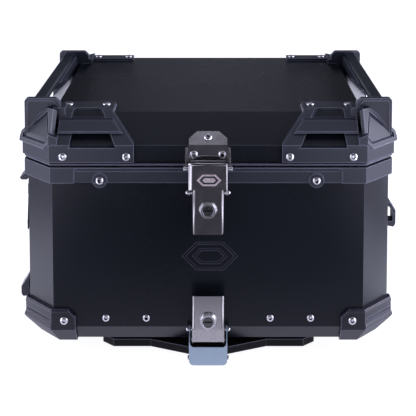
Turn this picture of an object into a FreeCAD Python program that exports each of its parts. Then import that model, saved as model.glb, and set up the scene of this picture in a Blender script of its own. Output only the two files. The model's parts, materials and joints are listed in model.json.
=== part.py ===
"""Motorcycle top case: an aluminium box with a hinged lid, on a quick-release base plate.

Millimetres. The origin is the centre of the base plate's underside. +X is to the right seen
from the latch side, +Y points away from the latch side, +Z is up.
"""
import FreeCAD, Part

import math
import os

V = FreeCAD.Vector

# Box and lid
body_width = 426.0
body_depth = 335.0
corner_leg = 33.0
sheet_t = 2.0
z_floor = 18.0
z_floor_fold = 38.0
floor_inset = 15.0
z_collar = 210.0
z_collar_top = 228.5
collar_web = 4.0
collar_lip = 1.2
z_rim = 230.0
z_rim_top = 233.5
rim_web = 2.0
z_lid_fold = 253.6
z_lid_top = 283.0
lid_slope_front = 38.0
lid_slope_side = 30.0
lid_top_leg = 16.0
rim_proud = 4.0
rim_recess = 1.8
rim_recess_half = 154.5
rim_inner_t = 2.6
clear = 0.05
emblem_x = 2.0
z_emblem = 122.5
emblem_depth = 1.0
emblem_line = 2.3

# Lid guards and rails
z_skirt = 235.0
guard_proud = 6.0
guard_skin = 3.6
leg_inner_x = 85.0
leg_top_inner_x = 112.0
leg_outer_x = 182.0
rear_leg_inner_x = 142.0
leg_neck_x = 170.0
guard_reach = 68.0
side_reach = 82.0
post_inner_x = 174.0
post_outer_x = 216.0
post_front = 30.0
post_rear_front = 296.0
post_t = 9.0
z_post_foot = 256.0
z_post_top = 300.5
post_radius = 3.8
post_panel_inset = 3.2
post_panel_radius = 2.2
post_panel_depth = 1.6
post_chamfer = 6.0
rail_x0 = 193.5
rail_x1 = 208.5
rail_z0 = 291.0
rail_z1 = 298.0
rail_socket = 5.0

# Nose of a front guard: a plane that leans in over the corner's chamfer
z_nose = 250.0
nose_out = 8.5
nose_lean = 0.55
nose_depth = 14.0
nose_sunk = 3.0
nose_rim = 4.5
nose_undercut_reach = 11.0

# Raised bar of a front guard
bar_front = 5.0
bar_inner_x = 99.0
bar_outer_x = 173.0

# Lower corner guards
foot_proud = 5.0
z_foot = 12.0
z_foot_top = 60.0
foot_inner_x = 154.0
foot_reach = 48.0

# Side fittings
fitting_front = 50.0
fitting_rear = 72.0
z_strap_top = 197.0
z_strap_end = 62.0
strap_room = 4.5

# Fasteners: button head radius, head height, shank radius, shank length
screw_m5 = (4.8, 2.6, 2.4, 7.0)
screw_m4 = (4.0, 2.2, 2.0, 5.0)
rivet_m4 = (4.3, 2.0, 2.0, 4.0)
hole_clearance = 0.1

# Places of the fasteners
collar_screw_rise = 3.3
collar_front_x = 124.5
collar_rear_x = 148.0
rivet_xs = (72.0, 119.0)
z_rivet = 48.5
foot_screw_x = 167.0
foot_screw_y = 127.0
z_foot_screw = 47.7
skirt_front_xs = (93.6, 166.3)
skirt_rear_xs = (149.0, 173.0)
skirt_side_y = 95.5
z_skirt_screw = 242.0
bar_front_xs = (122.0, 167.0)
bar_rear_xs = (119.0, 163.0)
bar_front_inset = 55.0
bar_rear_inset = 11.0
keeper_screw_x = 16.4
keeper_screw_drop = 10.1
keeper_screw_rise = 5.6
hinge_screw_xs = (-112.0, -56.0, 0.0, 56.0, 112.0)
dock_screw_x = 95.0
dock_screw_ys = (-80.0, 30.0)
loop_screw_zs = (133.0, 174.0)

# Upper latch: distances ahead of the front face, and heights
z_top_pivot = 215.0
z_top_link = 203.0
z_top_hook = 231.0
top_pivot_out = 15.5
top_link_out = 14.0
top_hook_out = 14.5
z_top_lock = 184.4
z_top_lever_end = 155.0
z_top_lever_start = 207.0
z_top_hood_edge = 207.8
z_top_hood_end = 236.0

# Lower latch
z_low_pivot = 28.0
z_low_link = 39.0
z_low_hook = 7.0
low_pivot_out = 9.8
low_link_out = 7.5
low_hook_out = 12.0
low_wall_out = 4.0
z_low_lock = 54.0
z_low_lever_end = 82.7
z_low_lever_bend = 43.3
z_low_lever_start = 27.0
z_low_hood_edge = 22.0
z_low_hood_end = 0.6
low_hood_radius = 5.5

# Shared latch sheet metal
lever_half = 18.4
lever_out = 18.0
lever_t = 1.5
lever_side_out = 7.0
hood_half = 22.0
hood_t = 1.2
hood_out = 20.0
pin_r = 2.0
boss_r = 4.4
ear_x0 = 15.2
ear_x1 = 16.7
ear_boss_r = 2.9
pivot_half = 19.6
hook_half_length = 28.0
lever_fold_r = 3.0
lever_corner_r = 4.5
lock_r = 8.0
lock_head_r = 10.6
lock_nose_r = 8.4
lock_head_out = 22.5
lock_back_out = 9.2
plug_r = 6.2
cam_out0 = 4.8
cam_out1 = 6.3
cam_length = 11.5
staple_half = 6.0
staple_out = 7.2
staple_tip = 6.6
staple_rise = 14.6
staple_foot = 5.5
keeper_half = 22.0
keeper_t = 2.4

# Rear hinge
hinge_y = 176.0
z_hinge = (z_collar_top + z_rim) / 2
knuckle_r = 4.2
hinge_pin_r = 2.0
hinge_half = 135.0
knuckle_count = 9
leaf_t = 2.0
lid_leaf_reach = 33.0
case_leaf_reach = 36.0
leaf_margin = 5.0

# Base plate and docking
plate_half = 127.0
plate_front = -140.0
plate_rear = 128.0
plate_t = 9.0
plate_leg = 30.0
lip_half = 69.0
lip_nose_half = 24.0
lip_nose_y = -158.0
tongue_half = 19.0
tongue_out = 7.5
bar_y = 105.0
bar_z = 9.0
bar_r = 4.0
dock_half = 110.0
dock_z = 14.0
hook_x = 62.0
hook_half = 12.0
hook_r = 7.2
running = 0.08
mount_x = 65.0
mount_y = 45.0
mount_r = 3.25

# Stay straps inside
stay_y = -47.5
stay_half = 12.5
stay_t = 1.4
z_case_anchor = 200.0
z_lid_anchor = 243.8
anchor_half = 14.0
anchor_rise = 8.0

front = -body_depth / 2
rear = body_depth / 2
side = body_width / 2


# Plain shapes

def solid_of(faces):
    """Closed solid from its faces."""
    shell = Part.makeShell(faces)
    shell.sewShape()
    solid = Part.makeSolid(shell)
    if solid.Volume < 0:
        solid.reverse()
    return solid


def lofted(rings):
    """Solid through rings of points, with flat ends."""
    faces = [Part.Face(Part.makePolygon(ring + ring[:1])) for ring in (rings[0], rings[-1])]
    for low, high in zip(rings, rings[1:]):
        for i in range(len(low)):
            j = (i + 1) % len(low)
            quad = [low[i], low[j], high[j], high[i], low[i]]
            faces.append(Part.Face(Part.makePolygon(quad)))
    return solid_of(faces)


def tower(levels):
    """Solid through stacked outlines, each level a height and its plan points."""
    return lofted([[V(x, y, z) for x, y in points] for z, points in levels])


def rounded_wire(points, radius):
    """Closed wire through the points with every corner rounded."""
    starts = []
    arcs = []
    ends = []
    for i, corner in enumerate(points):
        back = (points[i - 1] - corner).normalize()
        onward = (points[(i + 1) % len(points)] - corner).normalize()
        half = back.getAngle(onward) / 2
        reach = radius / math.tan(half)
        middle = (back + onward).normalize()
        nearest = corner + middle * (radius / math.sin(half) - radius)
        starts.append(corner + back * reach)
        ends.append(corner + onward * reach)
        arcs.append(Part.Arc(starts[-1], nearest, ends[-1]).toShape())
    edges = []
    for i, arc in enumerate(arcs):
        edges.append(arc)
        edges.append(Part.makeLine(ends[i], starts[(i + 1) % len(points)]))
    return Part.Wire(edges)


def prism(points, travel, radius):
    """Closed outline, rounded if radius is given, extruded along travel."""
    wire = rounded_wire(points, radius) if radius else Part.makePolygon(points + points[:1])
    return Part.Face(wire).extrude(travel)


def prism_x(points, x0, x1, radius=0):
    """Outline of (y, z) points, extruded from x0 to x1."""
    return prism([V(x0, y, z) for y, z in points], V(x1 - x0, 0, 0), radius)


def prism_y(points, y0, y1, radius=0):
    """Outline of (x, z) points, extruded from y0 to y1."""
    return prism([V(x, y0, z) for x, z in points], V(0, y1 - y0, 0), radius)


def prism_z(points, z0, z1, radius=0):
    """Outline of (x, y) points, extruded from z0 to z1."""
    return prism([V(x, y, z0) for x, y in points], V(0, 0, z1 - z0), radius)


def block(x0, x1, y0, y1, z0, z1):
    """Rectangular block between two corners."""
    return Part.makeBox(x1 - x0, y1 - y0, z1 - z0, V(x0, y0, z0))


def rod_x(y, z, radius, x0, x1):
    """Cylinder along X."""
    return Part.makeCylinder(radius, x1 - x0, V(x0, y, z), V(1, 0, 0))


def rod_y(x, z, radius, y0, y1):
    """Cylinder along Y."""
    return Part.makeCylinder(radius, y1 - y0, V(x, y0, z), V(0, 1, 0))


def rod_z(x, y, radius, z0, z1):
    """Cylinder along Z."""
    return Part.makeCylinder(radius, z1 - z0, V(x, y, z0), V(0, 0, 1))


def mitred(path, thickness):
    """The path of (y, z) points moved to its left by the thickness."""
    points = [V(y, z, 0) for y, z in path]
    moved = []
    for i, point in enumerate(points):
        normals = []
        for a, b in ((i - 1, i), (i, i + 1)):
            if a >= 0 and b < len(points):
                run = (points[b] - points[a]).normalize()
                normals.append(V(-run.y, run.x, 0))
        total = V(0, 0, 0)
        for normal in normals:
            total = total + normal
        total.normalize()
        moved.append(point + total * (thickness / total.dot(normals[0])))
    return [(point.x, point.y) for point in moved]


def folded(path, thickness, x0, x1):
    """Folded sheet strip along a path of (y, z) points, thickened to the path's left."""
    return prism_x(path + mitred(path, thickness)[::-1], x0, x1)


def joined(shapes):
    """One solid from touching shapes."""
    return shapes[0].multiFuse(shapes[1:]).removeSplitter()


def mirrored_x(shape):
    """The shape mirrored from right to left."""
    return shape.mirror(V(0, 0, 0), V(1, 0, 0))


def mirrored_y(shape):
    """The shape mirrored from front to rear."""
    return shape.mirror(V(0, 0, 0), V(0, 1, 0))


def ahead(distance):
    """Y of a place that far ahead of the box's front face."""
    return front - distance


# Fasteners

def placed(shape, point, direction):
    """The shape with its +Z axis turned to the direction and moved to the point."""
    turn = FreeCAD.Rotation(V(0, 0, 1), V(*direction))
    shape.Placement = FreeCAD.Placement(V(*point), turn)
    return shape


def button_screw(size):
    """Button-head screw with a hexagon socket, its bearing face at the origin."""
    head_r, head_h, shank_r, length = size
    crown = V(head_r * 0.5, 0, head_h)
    shoulder = V(head_r * 0.87, 0, head_h * 0.68)
    edge = V(head_r, 0, head_h * 0.2)
    foot = [V(head_r, 0, 0), V(shank_r, 0, 0), V(shank_r, 0, -length), V(0, 0, -length)]
    lines = [edge] + foot + [V(0, 0, head_h), crown]
    outline_edges = [Part.Arc(crown, shoulder, edge).toShape()]
    for a, b in zip(lines, lines[1:]):
        outline_edges.append(Part.makeLine(a, b))
    body = Part.Face(Part.Wire(outline_edges)).revolve(V(0, 0, 0), V(0, 0, 1), 360)
    socket_r = head_r * 0.48
    corners = []
    for i in range(6):
        turn = math.radians(60 * i)
        corners.append((socket_r * math.cos(turn), socket_r * math.sin(turn)))
    return body.cut(prism_z(corners, head_h * 0.3, head_h * 1.5))


def screws(places, size):
    """Group of separate screws, one at each place (point, direction)."""
    return Part.makeCompound([placed(button_screw(size), *place) for place in places])


def drilled(shape, places, size):
    """The shape with a clearance hole for each screw's shank."""
    shank_r, length = size[2], size[3]
    holes = []
    for place in places:
        hole = Part.makeCylinder(shank_r + hole_clearance, length * 2 + 1, V(0, 0, -length - 1))
        holes.append(placed(hole, *place))
    return shape.cut(holes)


def both_sides(places):
    """The places and their mirror images in X."""
    result = []
    for (x, y, z), (u, v, w) in places:
        result.append(((x, y, z), (u, v, w)))
        result.append(((-x, y, z), (-u, v, w)))
    return result


# Plan outlines of the body

def octagon(half_x, y0, y1, leg):
    """Rectangle with its corners cut off, as plan points."""
    return [
        (half_x - leg, y0), (half_x, y0 + leg), (half_x, y1 - leg), (half_x - leg, y1),
        (leg - half_x, y1), (-half_x, y1 - leg), (-half_x, y0 + leg), (leg - half_x, y0),
    ]


def outline(grow):
    """Plan of the box, moved outwards by grow."""
    leg = corner_leg + grow * (2 - math.sqrt(2))
    return octagon(side + grow, front - grow, rear + grow, leg)


def band(outer, inner, z0, z1):
    """Ring between two offsets of the box's plan."""
    ring = tower([(z0, outline(outer)), (z1, outline(outer))])
    return ring.cut(tower([(z0 - 1, outline(inner)), (z1 + 1, outline(inner))]))


def lid_outline(z, skin=0.0):
    """Plan of the lid's sloped part at a height, moved inwards by a skin thickness."""
    rise = z_lid_top - z_lid_fold
    up = (z - z_lid_fold) / rise
    front_skin = skin * math.hypot(lid_slope_front, rise) / rise
    side_skin = skin * math.hypot(lid_slope_side, rise) / rise
    half_x = side - lid_slope_side * up - side_skin
    y0 = front + lid_slope_front * up + front_skin
    return octagon(half_x, y0, rear - skin, corner_leg + (lid_top_leg - corner_leg) * up)


def lid_block():
    """The lid's outer form as one full block."""
    return tower([
        (z_rim + rim_web, outline(0)),
        (z_lid_fold, lid_outline(z_lid_fold)),
        (z_lid_top, lid_outline(z_lid_top)),
    ])


def case_block():
    """The box's outer form as one full block."""
    return tower([
        (z_floor, outline(-floor_inset)),
        (z_floor_fold, outline(0)),
        (z_collar_top - collar_web, outline(0)),
    ])


# Screw places

def collar_screw_places():
    """Collar screws: two on the front and rear, one in the middle of each side."""
    z = z_collar + collar_screw_rise
    head = rim_proud - 0.4
    right = [
        ((collar_front_x, front - head, z), (0, -1, 0)),
        ((collar_rear_x, rear + rim_proud, z), (0, 1, 0)),
        ((side + rim_proud, 0, z), (1, 0, 0)),
    ]
    return both_sides(right)


def rivet_places():
    """Four rivets low on the front face."""
    return both_sides([((x, front, z_rivet), (0, -1, 0)) for x in rivet_xs])


def foot_screw_places():
    """One screw on the front and one on the side of every lower corner guard."""
    x, y, z = foot_screw_x, foot_screw_y, z_foot_screw
    right = [
        ((x, front - foot_proud, z), (0, -1, 0)),
        ((x, rear + foot_proud, z), (0, 1, 0)),
        ((side + foot_proud, -y, z), (1, 0, 0)),
        ((side + foot_proud, y, z), (1, 0, 0)),
    ]
    return both_sides(right)


def guard_skirt_screw_places():
    """Screws through the skirts of the lid guards."""
    z = z_skirt_screw
    right = [((x, front - guard_proud, z), (0, -1, 0)) for x in skirt_front_xs]
    right += [((x, rear + guard_proud, z), (0, 1, 0)) for x in skirt_rear_xs]
    right += [((side + guard_proud, y, z), (1, 0, 0)) for y in (-skirt_side_y, skirt_side_y)]
    return both_sides(right)


def guard_top_screw_places():
    """Screws down through the guards' top bars."""
    z = z_lid_top + guard_skin
    right = [((x, front + bar_front_inset, z), (0, 0, 1)) for x in bar_front_xs]
    right += [((x, rear - bar_rear_inset, z), (0, 0, 1)) for x in bar_rear_xs]
    return both_sides(right)


def keeper_front_screw_places():
    """Two screws through the keeper's upright part."""
    z = z_lid_fold - keeper_screw_drop
    return both_sides([((keeper_screw_x, ahead(keeper_t), z), (0, -1, 0))])


def slope_normal():
    """Outward direction of the lid's front slope."""
    rise = z_lid_top - z_lid_fold
    length = math.hypot(lid_slope_front, rise)
    return (0, -rise / length, lid_slope_front / length)


def keeper_slope_screw_places():
    """One screw through the keeper's sloped part."""
    normal = slope_normal()
    up = keeper_screw_rise
    y = front + up * lid_slope_front / (z_lid_top - z_lid_fold) + normal[1] * keeper_t
    z = z_lid_fold + up + normal[2] * keeper_t
    return [((0, y, z), normal)]


def hinge_screw_places(direction):
    """Screws through one hinge leaf, above the hinge line for +1 and below it for -1."""
    y = rear + leaf_t + clear
    reach = lid_leaf_reach if direction > 0 else case_leaf_reach
    z = z_hinge + direction * (reach - leaf_margin)
    return [((x, y, z), (0, 1, 0)) for x in hinge_screw_xs]


# Box

def emblem_grooves():
    """Two nested plain hexagon rings, as shallow grooves in the front face."""
    rings = []
    for half_w, half_h in ((32.0, 16.5), (20.0, 9.0)):
        outer = prism_y(emblem_points(half_w, half_h), front - 1, front + emblem_depth)
        hollow = emblem_points(half_w - emblem_line * 1.6, half_h - emblem_line)
        rings.append(outer.cut(prism_y(hollow, front - 2, front + 2)))
    return rings


def emblem_points(half_w, half_h):
    """Long hexagon with pointed ends, as (x, z) points."""
    x0, z0 = emblem_x, z_emblem
    flat = half_w - half_h
    return [
        (x0 - flat, z0 - half_h), (x0 + flat, z0 - half_h), (x0 + half_w, z0),
        (x0 + flat, z0 + half_h), (x0 - flat, z0 + half_h), (x0 - half_w, z0),
    ]


def case_shell():
    """Folded sheet box, open at the top, with its edges chamfered."""
    slope = math.hypot(floor_inset, z_floor_fold - z_floor) / (z_floor_fold - z_floor)
    floor_top = z_floor + sheet_t
    run = floor_inset * (z_floor_fold - floor_top) / (z_floor_fold - z_floor)
    hollow = tower([
        (floor_top, outline(-run - sheet_t * slope)),
        (z_floor_fold + sheet_t * (slope - 1), outline(-sheet_t)),
        (z_collar_top, outline(-sheet_t)),
    ])
    shell = case_block().cut([hollow] + emblem_grooves())
    shell = drilled(shell, collar_screw_places(), screw_m5)
    shell = drilled(shell, rivet_places(), rivet_m4)
    shell = drilled(shell, foot_screw_places(), screw_m5)
    return drilled(shell, hinge_screw_places(-1), screw_m4)


def collar():
    """Moulded collar that clips over the box's edge, sunk along the front below a lip."""
    outer = band(rim_proud, clear, z_collar, z_collar_top)
    web = band(rim_proud, -sheet_t - rim_inner_t, z_collar_top - collar_web + clear, z_collar_top)
    inner = band(-sheet_t - clear, -sheet_t - rim_inner_t, z_collar + 2, z_collar_top)
    ring = joined([outer, web, inner])
    half = rim_recess_half
    sunk = rim_proud - rim_recess
    z_lip = z_collar_top - collar_lip
    notch = prism_z([
        (-half, ahead(rim_proud + 1)), (half, ahead(rim_proud + 1)),
        (half - 1, ahead(sunk)), (1 - half, ahead(sunk)),
    ], z_collar - 1, z_lip)
    slot = block(3 - half, half - 3, ahead(rim_proud), ahead(sunk - 1.2), z_lip - 3.6, z_lip)
    ring = ring.cut([notch, slot])
    boss_depth = rim_proud - 0.5
    bosses = []
    for (x, y, z), (u, v, w) in collar_screw_places():
        if u == 0:
            back = y - v * boss_depth
            bosses.append(rod_y(x, z, 8.6, min(y, back), max(y, back)))
    return drilled(joined([ring] + bosses), collar_screw_places(), screw_m5)


def guard_lip():
    """Lip across a lower guard's corner, and the groove above it."""
    corner = block(foot_inner_x + 29, side + 20, front - 20, front + 36, 0, z_foot_top)
    lip = tower([
        (z_floor_fold - 7, outline(1.0)), (z_floor_fold + 0.5, outline(foot_proud + 1.7)),
        (z_floor_fold + 2.5, outline(foot_proud + 1.5)), (z_floor_fold + 8.5, outline(foot_proud - 1.8)),
    ])
    groove = band(foot_proud + 5, foot_proud - 1.8, z_floor_fold + 8, z_floor_fold + 11.5)
    return lip.common(corner), groove.common(corner)


def lower_guard(at_rear):
    """Right-hand lower corner guard with its foot, seated on the box."""
    body = tower([
        (z_foot + 4, outline(foot_proud - floor_inset - 2)),
        (z_floor_fold - 2, outline(foot_proud)),
        (z_foot_top - 2, outline(foot_proud)),
        (z_foot_top, outline(foot_proud - 1.5)),
    ])
    reach = front + foot_reach
    cut_corner = 9.0
    front_view = [
        (foot_inner_x, 0), (foot_inner_x, z_foot_top - cut_corner),
        (foot_inner_x + cut_corner, z_foot_top), (side + 20, z_foot_top), (side + 20, 0),
    ]
    side_view = [
        (front - 20, 0), (front - 20, z_foot_top), (reach - cut_corner, z_foot_top),
        (reach, z_foot_top - cut_corner), (reach, 0),
    ]
    body = body.common(prism_y(front_view, front - 20, reach))
    body = body.common(prism_x(side_view, foot_inner_x, side + 20))
    foot_end = foot_inner_x + 22
    foot = prism_x([
        (front + 14, z_foot + 8), (front + 20, z_foot), (front + 44, z_foot),
        (front + 46, z_foot + 5),
    ], foot_inner_x + 1, foot_end)
    corner_cut = prism_z([
        (foot_end - 16, front), (foot_end + 9, front), (foot_end + 9, front + 28),
    ], 0, z_foot + 4)
    lip, groove = guard_lip()
    body = joined([body.cut(groove), lip, foot.cut(corner_cut)]).cut(case_block())
    if at_rear:
        body = mirrored_y(body)
    return drilled(body, foot_screw_places(), screw_m5)


def floor_mat():
    """Soft mat on the box floor."""
    z0 = z_floor + sheet_t + clear
    return tower([(z0, outline(-floor_inset - 6)), (z0 + 3, outline(-floor_inset - 6))])


# Side fittings

def upper_anchor():
    """Hook on the left wall that the side strap's upper end hangs in."""
    wall = -side - clear
    z = z_strap_top
    return prism_y([
        (wall, z + 3), (wall, z + 10), (wall - 5.5, z + 9), (wall - 14, z + 1.7),
        (wall - 12, z - 1), (wall - strap_room, z - 1), (wall - strap_room, z + 3),
    ], front + fitting_front, front + fitting_rear)


def lower_anchor():
    """Hook on the left wall for the strap's lower end, with a gusset over the webbing."""
    wall = -side - clear
    z = z_strap_end
    return prism_y([
        (wall, z), (wall, z - 10), (wall - 11.8, z - 10.5), (wall - 14, z - 7.3),
        (wall - 14, z + 2.2), (wall - 12.8, z + 3.4), (wall - 5.5, z + 15),
        (wall - strap_room, z + 15), (wall - strap_room, z),
    ], front + fitting_front, front + fitting_rear)


def side_strap():
    """Webbing between the two side hooks, with its slide buckle."""
    wall = -side - clear
    y0, y1 = front + fitting_front + 3, front + fitting_rear - 3
    webbing = block(wall - 4, wall - 1.2, y0, y1, z_strap_end + 1, z_strap_top + 1.5)
    buckle = prism_z([
        (wall - 6.4, y0 - 2), (wall - 0.6, y0 - 4), (wall - 0.6, y1 + 4), (wall - 6.4, y1 + 2),
    ], z_strap_top - 19, z_strap_top - 6)
    return joined([webbing, buckle])


def tie_loop():
    """Fixed loop on the right wall, a flat base with a bent bail."""
    wall = side + clear
    y0, y1 = front + fitting_front - 2, front + fitting_rear
    base = block(wall, wall + 2.5, y0, y1, 128.0, 179.0)
    bail = prism_y([
        (wall + 2, 139.0), (wall + 10, 137.5), (wall + 12.5, 141.0), (wall + 12.5, 158.0),
        (wall + 6, 168.0), (wall + 2, 169.0),
    ], y0 + 3, y1 - 3)
    opening = prism_y([
        (wall + 2.5, 144.5), (wall + 9, 144.5), (wall + 9, 156.5), (wall + 4.5, 162.5),
        (wall + 2.5, 162.5),
    ], y0, y1)
    return joined([base, bail.cut(opening)])


def tie_loop_screw_places():
    """Screws of the tie loop's base."""
    x = side + clear + 2.5
    y = front + 60
    return [((x, y, z), (1, 0, 0)) for z in loop_screw_zs]


# Lid

def lid_shell():
    """Folded sheet lid with a sloped front and sides."""
    hollow = tower([
        (z_rim, outline(-sheet_t)),
        (z_lid_fold - sheet_t * 0.45, outline(-sheet_t)),
        (z_lid_top - sheet_t, lid_outline(z_lid_top - sheet_t, sheet_t)),
    ])
    shell = lid_block().cut(hollow)
    shell = drilled(shell, guard_skirt_screw_places(), screw_m5)
    shell = drilled(shell, guard_top_screw_places(), screw_m5)
    shell = drilled(shell, keeper_front_screw_places(), screw_m5)
    shell = drilled(shell, keeper_slope_screw_places(), screw_m5)
    return drilled(shell, hinge_screw_places(1), screw_m4)


def lid_rim():
    """Moulded rim clipped over the lid's edge, with a ridge along its top."""
    ridge = 1.7
    sunk = rim_proud - 1.4
    low = band(sunk, clear, z_rim, z_rim_top - ridge)
    high = band(rim_proud, clear, z_rim_top - ridge, z_rim_top)
    web = band(sunk, -sheet_t - rim_inner_t, z_rim, z_rim + rim_web - clear)
    inner = band(-sheet_t - clear, -sheet_t - rim_inner_t, z_rim, z_rim_top)
    return joined([low, high, web, inner])


def lid_seal():
    """Rubber seal in the gap between the collar and the rim."""
    return band(-0.6, -3.8, z_collar_top + clear, z_rim - clear)


def nose_ring(points, sink):
    """Places of (along, z) points in the nose's leaning plane, sunk below its face."""
    half = math.sqrt(0.5)
    normal = V(half, -half, nose_lean).normalize()
    ring = []
    for along, z in points:
        out = nose_out - nose_lean * (z - z_nose)
        x = side - corner_leg / 2 + (along + out) * half
        y = front + corner_leg / 2 + (along - out) * half
        ring.append(V(x, y, z) - normal * sink)
    return ring


def nose_undercut():
    """Wedge that takes away the back of the nose's inner edge."""
    sections = []
    for along, z in ((-34.5, 243.5), (-3.9, 299.9)):
        section = nose_ring([(along - 1, z)], nose_rim)
        section += nose_ring([(along - 1, z), (along + nose_undercut_reach, z)], nose_depth + 1)
        sections.append(section)
    return lofted(sections)


def guard_nose():
    """Faceted nose over the corner: a rim around a sunk field with a raised panel."""
    edge = [
        (5.0, 289.6), (-9.0, 290.5), (-26.0, 259.2), (-18.0, 250.3), (29.0, 250.3),
        (31.3, 254.4), (32.3, 260.5),
    ]
    field = [(-0.5, 287.0), (-21.3, 261.8), (-16.8, 254.2), (25.6, 254.2), (28.2, 258.8)]
    panel = [(-1.5, 284.0), (-20.0, 262.0), (-16.4, 256.2), (22.8, 256.2), (25.4, 260.0)]
    middle = (0.0, 264.0)
    crown = [
        (middle[0] + (along - middle[0]) * 0.88, middle[1] + (z - middle[1]) * 0.88)
        for along, z in panel
    ]
    plate = lofted([nose_ring(edge, nose_depth), nose_ring(edge, 0)])
    hollow = lofted([nose_ring(field, nose_sunk), nose_ring(field, -1)])
    raised = lofted([nose_ring(panel, nose_sunk + 1), nose_ring(crown, 1.2)])
    return joined([plate.cut([hollow, nose_undercut()]), raised])


def post_view(inset):
    """Front view of a post with its inner top corner cut, moved inwards by inset."""
    x0, x1 = post_inner_x + inset, post_outer_x - inset
    z0, z1 = z_post_foot + inset, z_post_top - inset
    return [
        (x0 + 4, z0), (x1, z0), (x1, z1), (x0 + post_chamfer, z1), (x0, z1 - post_chamfer),
        (x0, z1 - 18),
    ]


def guard_post(y0, panel_side):
    """Upright post that holds a rail's end, with a sunk panel on its outer side."""
    y1 = y0 + post_t
    post = prism_y(post_view(0), y0, y1, post_radius)
    low, high = y0 - 1, y0 + post_panel_depth
    if panel_side > 0:
        low, high = y1 - post_panel_depth, y1 + 1
    return post.cut(prism_y(post_view(post_panel_inset), low, high, post_panel_radius))


def guard_leg_view(inner, outer):
    """Front view of a guard's leg, as (x, z) points."""
    return [
        (inner, z_skirt), (inner, z_lid_fold + 2.4),
        (leg_top_inner_x, z_lid_top + 1), (leg_top_inner_x, z_post_top),
        (outer, z_post_top), (outer, z_lid_fold + 4), (leg_outer_x, z_lid_fold + 0.5),
        (leg_outer_x, z_skirt),
    ]


def guard_bar():
    """Raised bar across the front leg, inside the leg's slanted outline."""
    y0 = front + bar_front
    z = z_lid_fold
    bar = prism_x([
        (y0, z + 12.4), (y0, z + 14.6), (y0 + 13, z + 24.4), (y0 + 24, z + 25.4), (y0 + 24, z + 8),
    ], bar_inner_x, bar_outer_x)
    view = prism_y([
        (bar_inner_x + 4, z + 8), (bar_outer_x - 4, z + 9), (bar_outer_x, z + 8),
        (bar_outer_x, z + 30), (bar_inner_x + 17, z + 30), (bar_inner_x, z + 12),
    ], front, front + 60)
    return bar.common(view)


def guard_gusset():
    """Small web between a front guard's nose and its leg."""
    z = z_lid_fold
    return prism_y([
        (leg_outer_x - 9, z + 0.5), (leg_outer_x - 9, z + 9.5), (leg_outer_x + 1, z + 14),
        (leg_outer_x + 1, z + 0.5),
    ], front - 5.5, front + 16)


def skirt_part(rear_side):
    """The guard's low skirt along the chamfered corner and the side wall."""
    top = z_lid_fold + 1.5
    ring = tower([
        (z_skirt, outline(guard_proud)), (top - 1.5, outline(guard_proud)),
        (top, outline(guard_proud - 1.5)),
    ])
    reach = front + side_reach
    corner = ring.common(block(leg_outer_x - 2, side + 20, front - 20, reach, 0, z_lid_top))
    wing = prism_y([
        (side + guard_proud, z_lid_fold - 3), (side + guard_proud, z_lid_fold + 1.5),
        (side + guard_proud - 9, z_lid_fold + 13), (side - 20, z_lid_fold + 13),
        (side - 20, z_lid_fold - 3),
    ], front + 34, reach)
    trim = prism_x([
        (front + 20, z_lid_fold - 5), (reach, z_lid_fold - 5), (reach - 16, z_lid_fold + 14),
        (front + 20, z_lid_fold + 14),
    ], side - 30, side + 20)
    part = joined([corner, wing.common(trim)])
    return mirrored_y(part) if rear_side else part


def front_guard():
    """Right-hand front guard: leg, bar, skirt, nose and post, seated on the lid."""
    profile = prism_x([
        (front - guard_proud, z_skirt), (front - guard_proud, z_lid_fold + 1.5),
        (front + lid_slope_front - 2.5, z_lid_top + guard_skin),
        (front + guard_reach, z_lid_top + guard_skin), (front + guard_reach, z_skirt),
    ], leg_inner_x, leg_outer_x)
    view = guard_leg_view(leg_inner_x, leg_neck_x + 4)
    leg = profile.common(prism_y(view, front - 20, front + 90))
    window = prism_y([
        (105.0, z_lid_fold - 1.6), (159.0, z_lid_fold - 1.6), (157.0, z_lid_fold + 17),
        (117.0, z_lid_fold + 17),
    ], front - 20, front + 22)
    upper = prism_z([
        (119.0, front + 23), (161.0, front + 23), (158.0, front + 42), (129.0, front + 42),
    ], z_lid_fold, z_post_top)
    leg = leg.cut([window, upper])
    post = guard_post(front + post_front, -1)
    shapes = [leg, guard_bar(), guard_gusset(), skirt_part(False), guard_nose(), post]
    tie = block(leg_neck_x - 2, post_inner_x + 8, front + post_front - 2, front + 49,
                z_lid_top - 12, z_lid_top + 7)
    body = joined(shapes + [tie]).cut([lid_block(), rail_bar(clear)])
    body = drilled(body, guard_skirt_screw_places(), screw_m5)
    return drilled(body, guard_top_screw_places(), screw_m5)


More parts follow.
